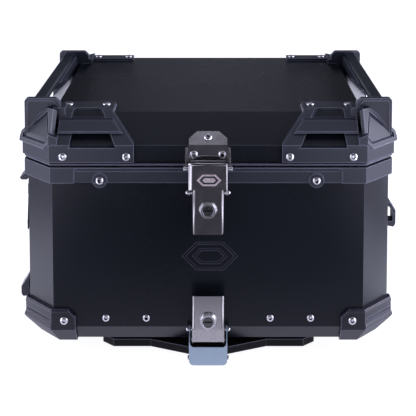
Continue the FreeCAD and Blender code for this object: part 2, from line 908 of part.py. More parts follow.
def rear_guard():
    """Right-hand rear guard: upright leg, top strip, skirt, post and rail web."""
    top = z_lid_top + guard_skin
    profile = prism_x([
        (rear + guard_proud, z_skirt), (rear + guard_proud, z_lid_fold + 2),
        (rear + guard_skin, z_lid_fold + 6), (rear + guard_skin, top - 2), (rear + guard_skin - 2, top),
        (rear - 22, top), (rear - 22, z_skirt),
    ], leg_inner_x, leg_outer_x)
    view = guard_leg_view(rear_leg_inner_x, leg_neck_x + 2)
    leg = profile.common(prism_y(view, rear - 30, rear + 20))
    window = prism_y([
        (149.0, z_lid_fold + 4), (163.0, z_lid_fold + 4), (161.0, z_lid_top - 6),
        (140.0, z_lid_top - 6),
    ], rear - 1, rear + 20)
    post = guard_post(front + post_rear_front, 1)
    corner = tower([
        (z_skirt, outline(guard_proud)), (z_lid_fold + 14, outline(guard_proud - 2)),
        (z_lid_top + 6, lid_outline(z_lid_top + 6, -4.0)),
    ]).common(block(leg_neck_x, side + 20, front + post_rear_front, rear + 20, 0, z_post_top))
    web_start = 150.0
    web_drop = 0.14
    web_end = post_rear_front + 1
    web = prism_x([
        (front + web_start, rail_z0 + 1), (front + web_end, rail_z0 + 1),
        (front + web_end, rail_z0 - 1 - (web_end - web_start) * web_drop),
        (front + web_start, rail_z0 - 1),
    ], rail_x0 - 1.5, rail_x0 + 1.2)
    ribs = [
        block(rail_x0, rail_x1 - 4, front + y, front + y + 2.4,
              rail_z0 - (y - web_start) * web_drop, rail_z0 + 1)
        for y in (180.0, 210.0, 240.0, 270.0)
    ]
    body = joined([leg.cut(window), skirt_part(True), post, corner, web] + ribs)
    body = body.cut([lid_block(), rail_bar(clear)])
    body = drilled(body, guard_skirt_screw_places(), screw_m5)
    return drilled(body, guard_top_screw_places(), screw_m5)


def rail_bar(grow):
    """Right-hand rail with bevelled edges, running from post to post."""
    y0 = front + post_front + post_t - rail_socket - grow
    y1 = front + post_rear_front + rail_socket + grow
    bevel = 2.0
    x0, x1, z0, z1 = rail_x0 - grow, rail_x1 + grow, rail_z0 - grow, rail_z1 + grow
    return prism_y([
        (x0, z0), (x1, z0), (x1, z1 - bevel), (x1 - bevel, z1), (x0 + bevel, z1), (x0, z1 - bevel),
    ], y0, y1)


# Keeper and hinge

def keeper():
    """Stainless bracket over the lid's front edge, with side flanges for the hook pin."""
    rise = z_lid_top - z_lid_fold
    up = 11.0
    slope_end = (front + up * lid_slope_front / rise, z_lid_fold + up)
    path = [slope_end, (front, z_lid_fold), (front, z_rim_top + 0.6)]
    plate = folded(path, -keeper_t, -keeper_half, keeper_half)
    corner = 9.7
    z_corner = z_lid_fold + 6.8
    z_end = z_lid_fold + 13
    view = prism_y([
        (-keeper_half, 0), (keeper_half, 0), (keeper_half, z_corner), (keeper_half - corner, z_end),
        (corner - keeper_half, z_end), (-keeper_half, z_corner),
    ], front - 20, front + 40)
    ear = prism_x([
        (ahead(0.2), z_rim_top + 0.6), (ahead(0.2), z_lid_fold - 1), (ahead(6), z_lid_fold - 1),
        (ahead(11.4), z_lid_fold - 8), (ahead(11.4), z_rim + 1.5), (ahead(5), z_rim + 1.5),
        (ahead(5), z_rim_top + 0.6),
    ], keeper_half + 1.9, keeper_half + 3.9)
    bridge = block(keeper_half - 1, keeper_half + 3, ahead(keeper_t), ahead(0.2),
                   z_rim_top + 0.6, z_lid_fold - 1)
    wings = [ear, bridge, mirrored_x(ear), mirrored_x(bridge)]
    body = joined([plate.common(view)] + wings).cut(lid_block())
    body = drilled(body, keeper_front_screw_places(), screw_m5)
    return drilled(body, keeper_slope_screw_places(), screw_m5)


def hinge_leaf(direction):
    """Hinge leaf with alternate knuckles: +1 is the lid's, -1 is the box's."""
    jog = hinge_y - knuckle_r
    base = rear + clear
    near = 5.0
    far = lid_leaf_reach if direction > 0 else case_leaf_reach
    proud_end = 8.6 if direction > 0 else z_hinge - z_collar + 1.3
    path = [
        (jog, z_hinge + direction * near), (jog, z_hinge + direction * proud_end),
        (base, z_hinge + direction * (proud_end + 3.6)), (base, z_hinge + direction * far),
    ]
    leaf = folded(path, -leaf_t * direction, -hinge_half, hinge_half)
    pitch = 2 * hinge_half / knuckle_count
    gap = 0.15
    pieces = [leaf]
    first = 0 if direction > 0 else 1
    for i in range(first, knuckle_count, 2):
        x0 = -hinge_half + i * pitch + gap
        x1 = x0 + pitch - 2 * gap
        tongue = block(x0, x1, jog, jog + leaf_t, min(z_hinge, z_hinge + direction * near),
                       max(z_hinge, z_hinge + direction * near))
        pieces.append(joined([rod_x(hinge_y, z_hinge, knuckle_r, x0, x1), tongue]))
    bore_r = hinge_pin_r + (clear if direction > 0 else 0)
    bore = rod_x(hinge_y, z_hinge, bore_r, -hinge_half - 1, hinge_half + 1)
    return drilled(joined(pieces).cut(bore), hinge_screw_places(direction), screw_m4)


def hinge_pin():
    """Pin through all the knuckles, fixed in the box's leaf."""
    return rod_x(hinge_y, z_hinge, hinge_pin_r, -hinge_half - 1.5, hinge_half + 1.5)


# Latches. "up" is +1 for the upper latch and -1 for the lower one.

def lever_boss(out, z, x0):
    """Round boss about a pin at one side wall."""
    return rod_x(ahead(out), z, boss_r, x0, x0 + lever_t)


def pin_hole(out, z, radius=pin_r + clear):
    """Hole across the latch for a pin."""
    return rod_x(ahead(out), z, radius, -hood_half - 9, hood_half + 9)


def fold_rounded(body, z0, z1):
    """The lever with its face's two long corners rounded between two heights."""
    x = lever_half - lever_fold_r
    y = ahead(lever_out - lever_fold_r)
    square = block(x, lever_half + 1, ahead(lever_out + 1), y, z0, z1)
    cutter = square.cut(rod_z(x, y, lever_fold_r, z0 - 1, z1 + 1))
    return body.cut([cutter, mirrored_x(cutter)])


def end_rounded(body, z_end, z_far):
    """The lever with its two corners at z_end rounded in the front view."""
    view = [(-lever_half, z_end), (lever_half, z_end), (lever_half, z_far), (-lever_half, z_far)]
    return body.common(prism_y(view, ahead(hood_out + 1), ahead(0), lever_corner_r))


def top_lever():
    """Upper lever: a channel that pivots at its top end."""
    plate = block(-lever_half, lever_half, ahead(lever_out), ahead(lever_out - lever_t),
                  z_top_lever_end, z_top_lever_start)
    wall = prism_x([
        (ahead(lever_out), z_top_lever_end), (ahead(lever_side_out + 3), z_top_lever_end),
        (ahead(lever_side_out), z_top_lever_end + 6), (ahead(lever_side_out), z_top_link),
        (ahead(top_pivot_out - boss_r), z_top_pivot), (ahead(top_pivot_out), z_top_pivot),
        (ahead(lever_out), z_top_lever_start),
    ], lever_half - lever_t, lever_half)
    wall = joined([wall, lever_boss(top_pivot_out, z_top_pivot, lever_half - lever_t)])
    wall = wall.cut(block(0, hood_half, ahead(hood_out), ahead(lever_out), 0, z_lid_top))
    body = fold_rounded(joined([plate, wall, mirrored_x(wall)]), z_top_lever_end - 1, z_lid_top)
    body = end_rounded(body, z_top_lever_end, z_lid_top)
    lock_hole = rod_y(0, z_top_lock, lock_r + clear, ahead(hood_out + 9), ahead(0))
    holes = [pin_hole(top_pivot_out, z_top_pivot), pin_hole(top_link_out, z_top_link, pin_r)]
    return body.cut(holes + [lock_hole])


def low_lever():
    """Lower lever: a channel that pivots at its bent lower end."""
    bend_out = low_pivot_out + 5.0
    path = [
        (ahead(lever_out), z_low_lever_end), (ahead(lever_out), z_low_lever_bend),
        (ahead(bend_out), z_low_lever_start),
    ]
    plate = folded(path, lever_t, -lever_half, lever_half)
    wall = prism_x([
        (ahead(lever_out), z_low_lever_end), (ahead(lever_side_out + 3), z_low_lever_end),
        (ahead(lever_side_out), z_low_lever_end - 6), (ahead(low_wall_out), z_low_link + 8),
        (ahead(low_wall_out), z_low_link - 5), (ahead(low_pivot_out - boss_r), z_low_pivot),
        (ahead(bend_out), z_low_lever_start), (ahead(lever_out), z_low_lever_bend),
    ], lever_half - lever_t, lever_half)
    wall = joined([wall, lever_boss(low_pivot_out, z_low_pivot, lever_half - lever_t)])
    body = fold_rounded(joined([plate, wall, mirrored_x(wall)]), z_low_lever_bend,
                        z_low_lever_end + 1)
    lock_hole = rod_y(0, z_low_lock, lock_r + clear, ahead(hood_out + 9), ahead(0))
    holes = [pin_hole(low_pivot_out, z_low_pivot), pin_hole(low_link_out, z_low_link, pin_r)]
    return body.cut(holes + [lock_hole])


def top_hood():
    """Upper link: a hood with a rolled edge that draws the keeper down."""
    face = block(-hood_half, hood_half, ahead(hood_out), ahead(hood_out - hood_t),
                 z_top_hood_edge, z_top_hood_end)
    roll = rod_x(ahead(hood_out - 2.6), z_top_hood_end, 2.6, -hood_half, hood_half)
    roll = roll.cut(rod_x(ahead(hood_out - 2.6), z_top_hood_end, 1.2, -hood_half - 1, hood_half + 1))
    wall = prism_x([
        (ahead(hood_out), z_top_hood_edge), (ahead(hood_out), z_top_hood_end),
        (ahead(top_hook_out - boss_r + 1), z_top_hood_end - 1),
        (ahead(top_hook_out - boss_r + 1), z_top_link), (ahead(top_link_out), z_top_link - 2),
        (ahead(top_link_out + boss_r - 1), z_top_link + 1),
    ], hood_half - hood_t, hood_half)
    boss = rod_x(ahead(top_link_out), z_top_link, boss_r - 0.8, hood_half - hood_t, hood_half)
    wall = joined([wall, boss])
    body = joined([face, roll, wall, mirrored_x(wall)])
    return body.cut([pin_hole(top_link_out, z_top_link), pin_hole(top_hook_out, z_top_hook, pin_r)])


def low_hood():
    """Lower link: a rounded hood on two arms that pulls up on the base plate's tongue."""
    face_out = hood_out - 2
    inner_half = hood_half - hood_t
    lip = low_hood_radius
    z_hood_far = z_low_lever_end
    face = prism_y([
        (-hood_half, z_low_hood_edge + lip), (hood_half, z_low_hood_edge + lip),
        (hood_half, z_low_hood_end), (-hood_half, z_low_hood_end),
    ], ahead(face_out), ahead(face_out - hood_t))
    window = prism_y([
        (-inner_half, z_low_hood_edge), (inner_half, z_low_hood_edge),
        (inner_half, z_hood_far), (-inner_half, z_hood_far),
    ], ahead(face_out + 1), ahead(face_out - hood_t - 1), low_hood_radius - 1)
    wall = prism_x([
        (ahead(face_out), z_low_hood_end), (ahead(face_out), z_low_hood_edge + lip),
        (ahead(low_link_out + 3.4), z_low_link - 3), (ahead(low_link_out - 3.4), z_low_link),
        (ahead(low_hook_out - 3.2), z_low_hook), (ahead(low_hook_out - 3), z_low_hood_end + 3),
        (ahead(low_hook_out), z_low_hood_end),
    ], inner_half, hood_half)
    boss = rod_x(ahead(low_link_out), z_low_link, boss_r - 0.8, inner_half, hood_half)
    wall = joined([wall, boss])
    body = joined([face.cut(window), wall, mirrored_x(wall)])
    rounding = prism_y([
        (-hood_half, z_low_hood_end), (hood_half, z_low_hood_end), (hood_half, z_hood_far),
        (-hood_half, z_hood_far),
    ], ahead(hood_out + 5), ahead(0), low_hood_radius)
    body = body.common(rounding)
    return body.cut([pin_hole(low_link_out, z_low_link), pin_hole(low_hook_out, z_low_hook, pin_r)])


def latch_pin(out, z, half_length):
    """Pin across a latch with domed ends."""
    rod = rod_x(ahead(out), z, pin_r, -half_length, half_length)
    heads = []
    for sign in (-1, 1):
        heads.append(Part.makeSphere(pin_r * 1.15, V(sign * half_length, ahead(out), z)))
    return joined([rod] + heads)


def hook_pin(out, z, half_length):
    """Pin held in the hood's side walls, with flat heads outside them."""
    rod = rod_x(ahead(out), z, pin_r, -half_length, half_length)
    heads = []
    for sign in (-1, 1):
        x = sign * (half_length - 0.9)
        heads.append(rod_x(ahead(out), z, pin_r + 0.5, x - 0.9, x + 0.9))
    return joined([rod] + heads)


def latch_base(out, pivot_z, link_out, link_z, back, z0, z1, up):
    """Fixed bracket behind a lever, with two ears that pass behind the link pin."""
    plate = block(-ear_x1, ear_x1, ahead(2), ahead(clear), min(z0, z1), max(z0, z1))
    neck = link_out - pin_r - 1.6
    ear = prism_x([
        (ahead(clear), z0), (ahead(clear), z1), (ahead(back), z1 + up * 1.5),
        (ahead(back), pivot_z + up * 2), (ahead(out), pivot_z + up * 2.6),
        (ahead(out + 2), pivot_z - up * 2), (ahead(neck), link_z + up * 3.5),
        (ahead(neck), link_z - up * 12), (ahead(3), z0),
    ], ear_x0, ear_x1)
    boss = rod_x(ahead(out), pivot_z, ear_boss_r, ear_x0, ear_x1)
    ear = joined([ear, boss])
    body = joined([plate, ear, mirrored_x(ear)])
    return body.cut(pin_hole(out, pivot_z, pin_r))


def staple(lock_z, up):
    """Catch plate that the lock's cam turns behind."""
    z_tip = lock_z - up * staple_tip
    z_root = lock_z - up * staple_rise
    path = [
        (ahead(2), z_root - up * staple_foot), (ahead(2), z_root),
        (ahead(staple_out), z_root), (ahead(staple_out), z_tip),
    ]
    return folded(path, lever_t * up, -staple_half, staple_half)


def lock_barrel(lock_z):
    """Round lock body held in the lever, with a conical head."""
    neck = rod_y(0, lock_z, lock_r, ahead(lever_out), ahead(lock_back_out))
    head = Part.makeCone(lock_nose_r, lock_head_r, lock_head_out - lever_out,
                         V(0, ahead(lock_head_out), lock_z), V(0, 1, 0))
    bore = rod_y(0, lock_z, plug_r + clear, ahead(lock_head_out + 1), ahead(0))
    return joined([neck, head]).cut(bore)


def lock_plug(lock_z):
    """Turning plug with a horizontal key slot and a square tail for the cam."""
    body = rod_y(0, lock_z, plug_r, ahead(lock_head_out - 0.6), ahead(lock_back_out))
    tail = block(-2, 2, ahead(lock_back_out), ahead(cam_out0), lock_z - 2, lock_z + 2)
    slot = block(-4.4, 4.4, ahead(lock_head_out + 1), ahead(lock_head_out - 5),
                 lock_z - 0.8, lock_z + 0.8)
    return joined([body, tail]).cut(slot)


def lock_cam(lock_z):
    """Flat cam on the plug's tail, lying sideways when the lock is open."""
    cam = prism_y([
        (-5.0, lock_z - 4), (cam_length - 3, lock_z - 3.4), (cam_length, lock_z),
        (cam_length - 3, lock_z + 3.4), (-5.0, lock_z + 4),
    ], ahead(cam_out1), ahead(cam_out0))
    return cam.cut(block(-2, 2, ahead(9), ahead(0), lock_z - 2, lock_z + 2))


# Base plate and docking

def base_plate():
    """Plate that stays on the rack, with a pointed front lip and a tongue for the latch."""
    plan = [
        (-plate_half + plate_leg, plate_rear), (-plate_half, plate_rear - plate_leg),
        (-plate_half, plate_front + 12), (-plate_half + 14, plate_front), (-lip_half, plate_front),
        (-lip_nose_half, lip_nose_y), (-tongue_half, lip_nose_y - 3), (-tongue_half, ahead(tongue_out)),
        (tongue_half, ahead(tongue_out)), (tongue_half, lip_nose_y - 3), (lip_nose_half, lip_nose_y),
        (lip_half, plate_front), (plate_half - 14, plate_front), (plate_half, plate_front + 12),
        (plate_half, plate_rear - plate_leg), (plate_half - plate_leg, plate_rear),
    ]
    plate = prism_z(plan, 0, plate_t)
    step = 4.6
    hollow = octagon(plate_half - 16, plate_front + 17, plate_rear - 12, plate_leg - 8)
    plate = plate.cut(prism_z(hollow, plate_t - step, plate_t + 1))
    ribs = [
        block(-plate_half + 8, plate_half - 8, y - 2, y + 2, plate_t - step - 1, plate_t - 0.8)
        for y in (-80.0, 0.0, 84.0)
    ]
    pads = [rod_z(x, y, 13.0, 0, plate_t) for x, y in pad_places()]
    studs = [rod_z(x, y, 9.0, 0, plate_t - 1) for x, y in mount_places()]
    plate = joined([plate] + ribs + pads + studs)
    lugs = [
        block(x - 8, x + 8, bar_y - 8, bar_y + 8, plate_t - step - 1, bar_z + bar_r + 2.5)
        for x in (-hook_x - 26, -hook_x + 26, hook_x - 26, hook_x + 26)
    ]
    pockets = [
        block(x - hook_half - 3, x + hook_half + 3, bar_y - 18, bar_y + 12, -1, plate_t + 1)
        for x in (-hook_x, hook_x)
    ]
    holes = [rod_z(x, y, mount_r, -1, plate_t + 1) for x, y in mount_places()]
    slots = [
        prism_z([(x - 24, y - 9), (x + 24, y - 9), (x + 24, y + 9), (x - 24, y + 9)], -1, plate_t, 8.0)
        for x in (-30.0, 30.0) for y in (-38.0, 38.0)
    ]
    bar = cross_bar()
    return joined([plate.cut(pockets)] + lugs).cut(holes + slots + [bar])


def mount_places():
    """Plan places of the four rack bolts."""
    return [(x, y) for x in (-mount_x, mount_x) for y in (-mount_y, mount_y)]


def pad_places():
    """Plan places of the four rest pads."""
    return [(x, y) for x in (-100.0, 100.0) for y in (-112.0, 62.0)]


def cross_bar():
    """Round bar that the case's two hooks turn about."""
    reach = hook_x + 33.0
    return rod_x(bar_y, bar_z, bar_r, -reach, reach)


def rest_pads():
    """Four rubber pads between the plate and the docking frame."""
    pads = [rod_z(x, y, 10.0, plate_t, dock_z - 0.1) for x, y in pad_places()]
    return Part.makeCompound(pads)


def docking_frame():
    """Frame under the box floor with two hooks, open to the rear, that hold the cross bar."""
    plan = octagon(dock_half, -128.0, 112.0, 18.0)
    frame = prism_z(plan, dock_z, z_floor)
    windows = [
        prism_z([(x - 34, -96), (x + 34, -96), (x + 34, 40), (x - 34, 40)], dock_z - 1, z_floor + 1, 9.0)
        for x in (-45.0, 45.0)
    ]
    hooks = []
    for x in (-hook_x, hook_x):
        body = rod_x(bar_y, bar_z, hook_r, x - hook_half, x + hook_half)
        arm = block(x - hook_half, x + hook_half, bar_y - hook_r, bar_y + 1, bar_z, dock_z + 1)
        mouth = block(x - 20, x + 20, bar_y, bar_y + 20, bar_z - bar_r - running, bar_z + bar_r + running)
        bore = rod_x(bar_y, bar_z, bar_r + running, x - 20, x + 20)
        hooks.append(joined([body, arm]).cut([mouth, bore]))
    frame = joined([frame.cut(windows)] + hooks)
    reliefs = [
        block(sign * (hook_x + shift) - 10, sign * (hook_x + shift) + 10, bar_y - 10, bar_y + 20,
              dock_z - 1, z_floor + 1)
        for sign in (-1, 1) for shift in (-26, 26)
    ]
    return drilled(frame.cut(reliefs), dock_screw_places(), screw_m5)


def dock_screw_places():
    """Screws that hold the docking frame up to the floor, their heads inside the box."""
    z = z_floor + sheet_t
    return [((x, y, z), (0, 0, 1)) for x in (-dock_screw_x, dock_screw_x)
            for y in dock_screw_ys]


# Stay straps

def stay_straps():
    """Two webbing straps that stop the lid, each a flat band beside the side wall."""
    x0 = side - sheet_t - rim_inner_t - 5.0
    strap = block(x0 - stay_t, x0, stay_y - stay_half, stay_y + stay_half,
                  z_case_anchor - 5, z_lid_anchor + 6)
    return Part.makeCompound([strap, mirrored_x(strap)])


def strap_anchor(z):
    """Anchor plates inside both walls that one end of each stay strap is held by."""
    wall = side - sheet_t - clear
    plate = block(wall - 2, wall, stay_y - anchor_half, stay_y + anchor_half,
                  z - anchor_rise, z + anchor_rise)
    return Part.makeCompound([plate, mirrored_x(plate)])


def build():
    """Every node of the top case by name."""
    guards = {"front": front_guard(), "rear": rear_guard()}
    feet = {"front": lower_guard(False), "rear": lower_guard(True)}
    rail = rail_bar(0)
    shell = drilled(case_shell(), dock_screw_places(), screw_m5)
    loop_places = tie_loop_screw_places()
    shell = drilled(shell, loop_places, screw_m4)
    mat = floor_mat()
    for (x, y, z), direction in dock_screw_places():
        mat = mat.cut(rod_z(x, y, screw_m5[0] + 1.5, z_floor, z_floor + 20))
    nodes = {
        "base_plate": base_plate(),
        "plate_cross_bar": cross_bar(),
        "plate_rest_pads": rest_pads(),
        "docking_frame": docking_frame(),
        "docking_screws": screws(dock_screw_places(), screw_m5),
        "case_shell": shell,
        "case_collar": collar(),
        "collar_screws": screws(collar_screw_places(), screw_m5),
        "front_rivets": screws(rivet_places(), rivet_m4),
        "lower_guard_screws": screws(foot_screw_places(), screw_m5),
        "floor_mat": mat,
        "side_strap_anchors": Part.makeCompound([upper_anchor(), lower_anchor()]),
        "side_strap": side_strap(),
        "tie_loop": drilled(tie_loop(), loop_places, screw_m4),
        "tie_loop_screws": screws(loop_places, screw_m4),
        "case_hinge_leaf": hinge_leaf(-1),
        "hinge_pin": hinge_pin(),
        "case_hinge_screws": screws(hinge_screw_places(-1), screw_m4),
        "top_latch_base": latch_base(top_pivot_out, z_top_pivot, top_link_out, z_top_link,
                                     4.6, 160.0, 207.0, 1),
        "top_pivot_pin": rod_x(ahead(top_pivot_out), z_top_pivot, pin_r, -pivot_half, pivot_half),
        "top_staple": staple(z_top_lock, 1),
        "base_latch_base": latch_base(low_pivot_out, z_low_pivot, low_link_out, z_low_link,
                                      1.0, 74.4, z_low_link, -1),
        "base_pivot_pin": rod_x(ahead(low_pivot_out), z_low_pivot, pin_r, -pivot_half, pivot_half),
        "base_staple": staple(z_low_lock, -1),
        "stay_straps": stay_straps(),
        "case_strap_anchors": strap_anchor(z_case_anchor),
        "lid_strap_anchors": strap_anchor(z_lid_anchor),
        "lid_shell": lid_shell(),
        "lid_rim": lid_rim(),
        "lid_seal": lid_seal(),
        "left_rail": mirrored_x(rail),
        "right_rail": rail,
        "guard_skirt_screws": screws(guard_skirt_screw_places(), screw_m5),
        "guard_top_screws": screws(guard_top_screw_places(), screw_m5),
        "lid_keeper": keeper(),
        "keeper_screws": screws(keeper_front_screw_places() + keeper_slope_screw_places(), screw_m5),
        "lid_hinge_leaf": hinge_leaf(1),
        "lid_hinge_screws": screws(hinge_screw_places(1), screw_m4),
        "top_lever": top_lever(),
        "top_link_pin": latch_pin(top_link_out, z_top_link, hood_half + 1.5),
        "top_hood": top_hood(),
        "top_hook_pin": hook_pin(top_hook_out, z_top_hook, hook_half_length),
        "base_lever": low_lever(),
        "base_link_pin": latch_pin(low_link_out, z_low_link, hood_half + 1.5),
        "base_hood": low_hood(),
        "base_hook_pin": hook_pin(low_hook_out, z_low_hook, hood_half + 1.8),
    }
    for end, guard in guards.items():
        nodes[end + "_guard_right"] = guard
        nodes[end + "_guard_left"] = mirrored_x(guard)
    for end, foot in feet.items():
        nodes["lower_guard_" + end + "_right"] = foot
        nodes["lower_guard_" + end + "_left"] = mirrored_x(foot)
    for latch, lock_z in (("top", z_top_lock), ("base", z_low_lock)):
        nodes[latch + "_lock_barrel"] = lock_barrel(lock_z)
        nodes[latch + "_lock_plug"] = lock_plug(lock_z)
        nodes[latch + "_lock_cam"] = lock_cam(lock_z)
    return nodes


os.makedirs("parts", exist_ok=True)
for name, shape in build().items():
    shape.exportStep(os.path.join("parts", name + ".step"))
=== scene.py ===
"""Looks for the motorcycle top case. Metres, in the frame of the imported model."""

import json
import math

import bpy
import bmesh
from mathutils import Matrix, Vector

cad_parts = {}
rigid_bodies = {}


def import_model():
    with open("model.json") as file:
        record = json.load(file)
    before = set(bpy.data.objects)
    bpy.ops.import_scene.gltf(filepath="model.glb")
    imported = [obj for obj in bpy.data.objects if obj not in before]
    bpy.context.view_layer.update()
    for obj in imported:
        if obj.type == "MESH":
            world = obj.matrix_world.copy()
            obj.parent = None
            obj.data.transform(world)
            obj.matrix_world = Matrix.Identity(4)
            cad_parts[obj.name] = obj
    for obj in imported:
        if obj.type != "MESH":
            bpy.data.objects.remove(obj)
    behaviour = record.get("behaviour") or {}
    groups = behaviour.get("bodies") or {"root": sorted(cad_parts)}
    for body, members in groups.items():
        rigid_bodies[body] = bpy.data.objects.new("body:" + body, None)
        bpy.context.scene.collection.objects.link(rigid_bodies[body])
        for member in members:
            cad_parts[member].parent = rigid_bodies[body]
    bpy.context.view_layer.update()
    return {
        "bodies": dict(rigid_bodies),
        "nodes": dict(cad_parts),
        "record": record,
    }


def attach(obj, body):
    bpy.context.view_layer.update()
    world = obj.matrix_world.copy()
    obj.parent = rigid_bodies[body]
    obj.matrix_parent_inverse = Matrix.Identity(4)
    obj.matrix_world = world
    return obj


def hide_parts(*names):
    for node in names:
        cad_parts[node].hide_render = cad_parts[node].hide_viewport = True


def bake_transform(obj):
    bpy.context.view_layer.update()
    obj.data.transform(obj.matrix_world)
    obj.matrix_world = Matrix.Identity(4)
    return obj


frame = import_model()
nodes = frame["nodes"]
MM = 0.001


# Node trees

class Tree:
    """Short form for building a node material around one Principled BSDF."""

    def __init__(self, name):
        self.material = bpy.data.materials.new(name)
        self.material.use_nodes = True
        self.tree = self.material.node_tree
        self.bsdf = self.tree.nodes["Principled BSDF"]

    def add(self, kind, values=None, **props):
        """New node with its properties set and its inputs filled by values or links."""
        made = self.tree.nodes.new(kind)
        for key, value in props.items():
            setattr(made, key, value)
        for key, value in (values or {}).items():
            self.feed(made, key, value)
        return made

    def feed(self, target, key, value):
        """Puts a constant or another node's output into an input."""
        if isinstance(value, bpy.types.NodeSocket):
            self.tree.links.new(value, target.inputs[key])
        else:
            target.inputs[key].default_value = value

    def shade(self, **values):
        """Fills inputs of the Principled BSDF; spaces in names are written as _."""
        for key, value in values.items():
            self.feed(self.bsdf, key.replace("_", " "), value)

    def place(self):
        """Object coordinates, which are the frame's metres."""
        return self.add("ShaderNodeTexCoord").outputs["Object"]

    def noise(self, scale, detail=2.0, stretch=(1, 1, 1), rough=0.5):
        """Noise value between 0 and 1 over the object's metres."""
        mapped = self.add("ShaderNodeMapping", {"Vector": self.place(), "Scale": stretch})
        made = self.add("ShaderNodeTexNoise", {
            "Vector": mapped.outputs[0], "Scale": scale, "Detail": detail, "Roughness": rough})
        return made.outputs["Fac"]

    def spread(self, value, low, high, to_low=0.0, to_high=1.0):
        """Maps a value from one range to another, clamped."""
        made = self.add("ShaderNodeMapRange", {
            "Value": value, "From Min": low, "From Max": high, "To Min": to_low, "To Max": to_high})
        return made.outputs["Result"]

    def mix(self, factor, a, b):
        """Mix of two colours; sockets 6, 7 and 2 are the node's colour ones."""
        made = self.add("ShaderNodeMix", data_type="RGBA")
        self.feed(made, 0, factor)
        self.feed(made, 6, a)
        self.feed(made, 7, b)
        return made.outputs[2]

    def math(self, how, a, b=0.0):
        """One arithmetic step."""
        made = self.add("ShaderNodeMath", operation=how)
        self.feed(made, 0, a)
        self.feed(made, 1, b)
        return made.outputs[0]

    def bump(self, height, strength, distance, under=None):
        """Normal from a height value, over another normal if one is given."""
        made = self.add("ShaderNodeBump", {
            "Height": height, "Strength": strength, "Distance": distance})
        if under:
            self.feed(made, "Normal", under)
        return made.outputs["Normal"]

    def parted(self, vector):
        """The x, y and z values of a vector."""
        return self.add("ShaderNodeSeparateXYZ", {"Vector": vector}).outputs

    def rolled(self, half_width):
        """Normal of a folded plate that turns softly aside towards its two upright edges."""
        off = self.math("SUBTRACT", self.parted(self.place())["X"], LATCH_X)
        near = self.spread(self.math("ABSOLUTE", off), half_width - ROLL_WIDTH, half_width)
        turn = self.math("MULTIPLY", self.math("MULTIPLY", near, near), self.math("SIGN", off))
        aside = self.add("ShaderNodeCombineXYZ", {"X": self.math("MULTIPLY", turn, ROLL_TURN)})
        flat = self.add("ShaderNodeNewGeometry")
        total = self.add("ShaderNodeVectorMath", {0: flat.outputs["Normal"], 1: aside.outputs[0]})
        unit = self.add("ShaderNodeVectorMath", {0: total.outputs[0]}, operation="NORMALIZE")
        return unit.outputs[0]

    def edges(self, radius):
        """1 along sharp edges and 0 on flats, from the difference a rounded normal makes."""
        rounded = self.add("ShaderNodeBevel", {"Radius": radius}, samples=6)
        flat = self.add("ShaderNodeNewGeometry")
        dot = self.add("ShaderNodeVectorMath", {0: rounded.outputs[0], 1: flat.outputs["Normal"]},
                       operation="DOT_PRODUCT")
        return self.spread(dot.outputs["Value"], *EDGE_DOT)

    def open_sky(self, reach, low, high):
        """1 where a surface lies open and 0 deep in a pocket, looking as far as reach."""
        around = self.add("ShaderNodeAmbientOcclusion", {"Distance": reach}, samples=8)
        return self.spread(around.outputs["AO"], low, high)


def grey(value, tint=0.0):
    """Near-neutral colour; tint above 0 leans to blue."""
    return (value * (1 - tint), value * (1 - tint * 0.4), value * (1 + tint), 1.0)


# Materials. Noise scales count waves per metre.

LATCH_X = 1.2 * MM
ROLL_WIDTH = 5.5 * MM
ROLL_TURN = 0.55
EDGE_DOT = (0.998, 0.92)
# Strength of the painted highlight along sharp edges of moulded plastic.
EDGE_GLINT = 0.9
# Strength of the painted highlight along sharp edges of the powder coat.
COAT_GLINT = 0.45
# Painted shade in sockets and recesses: its darkness, how far the occlusion looks, and its ramp.
SOCKET_PAINTED_SHADE = 0.06
POCKET_REACH = 1.6 * MM
POCKET_SHADE = (0.45, 0.85)
LEVER_HALF = 18.4 * MM
HOOD_HALF = 22.0 * MM
# Pale lavender colour of the painted highlights laid along sharp edges.
EDGE_GLINT_COLOUR = (0.26, 0.255, 0.34, 1)
RIB_PITCH = 1.6 * MM
YARN_PITCH = 1.1 * MM


def powder_coat(name, value, tint, rough):
    """Satin powder coat on sheet metal: orange-peel skin, painted highlights along its sharp edges,
    faint clouding.
    """
    t = Tree(name)
    peel = t.noise(900.0, 3.0)
    cloud = t.noise(7.0, 4.0)
    edge = t.edges(1.2 * MM)
    base = t.mix(t.spread(cloud, 0.35, 0.7), grey(value, tint), grey(value * 1.25, tint))
    t.shade(
        # Painted highlight: sharp edges are lightened towards a pale lavender.
        Base_Color=t.mix(t.math("MULTIPLY", edge, COAT_GLINT), base, EDGE_GLINT_COLOUR),
        Roughness=t.spread(cloud, 0.3, 0.7, rough - 0.03, rough + 0.05),
        Specular_IOR_Level=0.30,
        Normal=t.bump(peel, 0.10, 0.15 * MM))
    return t.material


def moulded_plastic(name, value, tint, rough, grain=1500.0, depth=0.22, shine=0.5):
    """Moulded plastic with a fine spark-eroded grain and painted highlights along its sharp edges.
    """
    t = Tree(name)
    fine = t.noise(grain, 2.0)
    cloud = t.noise(18.0, 3.0)
    edge = t.edges(1.5 * MM)
    base = t.mix(cloud, grey(value, tint), grey(value * 1.4, tint))
    t.shade(
        # Painted highlight: sharp edges are lightened towards a pale lavender; edges are also a
        # little glossier.
        Base_Color=t.mix(t.math("MULTIPLY", edge, EDGE_GLINT), base, EDGE_GLINT_COLOUR),
        Roughness=t.spread(edge, 0.0, 1.0, rough, rough - 0.12), Specular_IOR_Level=shine,
        Normal=t.bump(fine, depth, 0.12 * MM))
    return t.material


